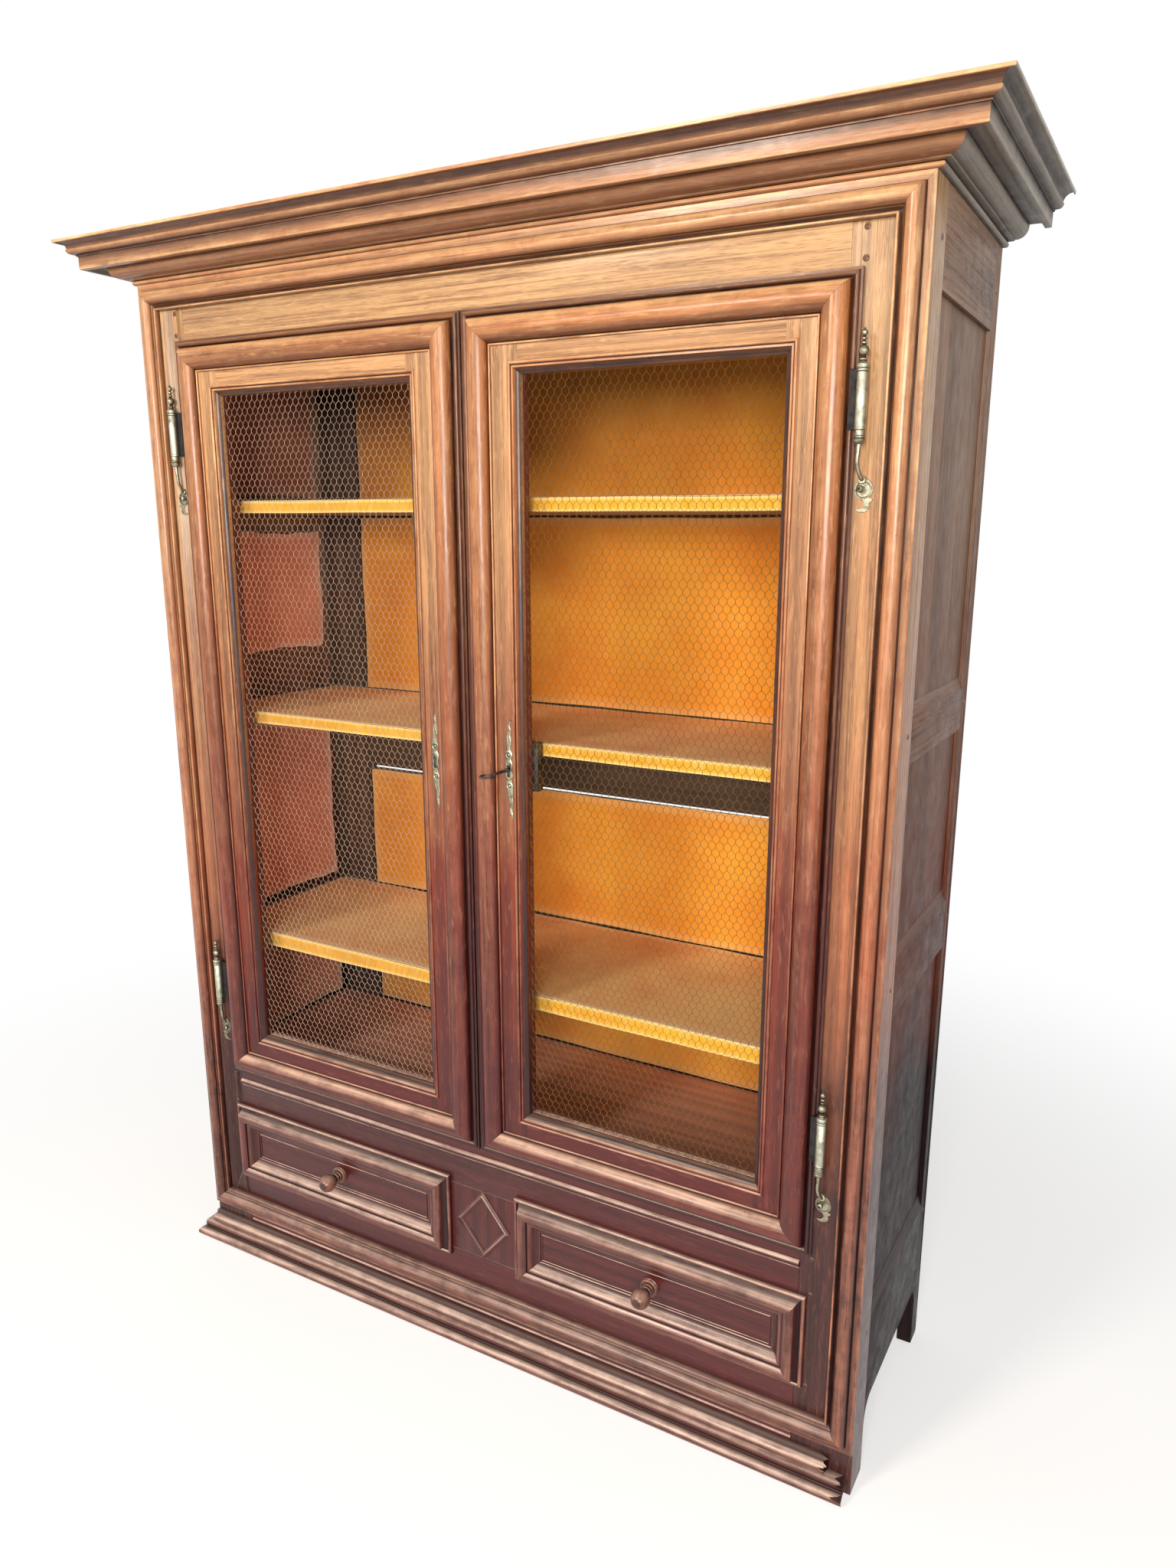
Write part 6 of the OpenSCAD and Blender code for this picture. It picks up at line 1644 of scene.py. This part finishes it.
# %% The pegs' tree
peg_tree = new_tree("split_pegs", {"Peg": "Object", "Smallest": "Float", "Largest": "Float",
                                   "Finish": "Material"})
given = add(peg_tree, "NodeGroupInput").outputs
one = add(peg_tree, "GeometryNodeObjectInfo", Object=given["Peg"]).outputs["Geometry"]
aim = add(peg_tree, "GeometryNodeInputNamedAttribute", data_type="FLOAT_VECTOR", Name="aim")
size = add(peg_tree, "FunctionNodeRandomValue", given["Smallest"], given["Largest"],
           data_type="FLOAT", Seed=5)
spin = add(peg_tree, "FunctionNodeRandomValue", 0.0, 6.28, data_type="FLOAT", Seed=9)
laid = add(peg_tree, "GeometryNodeInstanceOnPoints", Points=given["Geometry"], Instance=one,
           Rotation=add(peg_tree, "FunctionNodeEulerToRotation", aim),
           Scale=add(peg_tree, "ShaderNodeCombineXYZ", X=size, Y=1.0, Z=1.0))
spun = add(peg_tree, "FunctionNodeEulerToRotation", add(peg_tree, "ShaderNodeCombineXYZ", Z=spin))
turned = add(peg_tree, "GeometryNodeRotateInstances", Instances=laid, Rotation=spun)
real = add(peg_tree, "GeometryNodeRealizeInstances", Geometry=turned)
dressed = add(peg_tree, "GeometryNodeSetMaterial", Geometry=real, Material=given["Finish"])
add(peg_tree, "NodeGroupOutput", Geometry=dressed)
print("peg tree has", len(peg_tree.nodes), "nodes")

# %% [markdown]
# ## Setting the pegs
#
# The places come from the loose parts of the solid, and one lathed peg with nine flat sides is
# the unit. Its grain attribute is written before it is repeated, so every copy carries it.

# %% The pegs
peg_wood = oak_wood("split_oak_peg", "#8A5A36", "#7C4E32", "#5E362A", streak="#3A2016", rough=0.5)
peg_spots = [((low + high) / 2, high - low) for low, high in loose_parts("frame_pegs")]
spot_mesh = bpy.data.meshes.new("peg_spots")
spot_mesh.from_pydata([tuple(middle) for middle, _ in peg_spots], [], [])
# A peg lies along its solid's longest side: front to back, or out to its own side
quarter = math.pi / 2
store(spot_mesh, "aim", [(quarter, 0, 0) if size[1] > size[0]
                         else (0, quarter * (1 if middle[0] > 0 else -1), 0)
                         for middle, size in peg_spots])
peg = Metalwork()
peg.lathe([(0, -7.4), (4.2, -7.4), (4.45, 6.0), (4.3, 6.9), (3.4, 7.4), (0, 7.5)], (0, 0, 0),
          segments=9)
peg_mesh = peg.mesh("peg")
turned_grain(peg_mesh, (2, 0, 1), 78)
peg_object = in_scene("peg", peg_mesh)
pegs_mesh = grown(in_scene("peg_spots", spot_mesh), peg_tree, "pegs", {
    "Peg": peg_object, "Smallest": 0.86, "Largest": 1.04, "Finish": peg_wood})
bpy.data.objects.remove(peg_object)
pegs = finish_mesh("frame_pegs_split", "case", None, pegs_mesh, ("frame_pegs",), 40)
print("pegs:", len(peg_spots), "box", [round(v, 4) for v in pegs.bound_box[0]],
      [round(v, 4) for v in pegs.bound_box[6]])
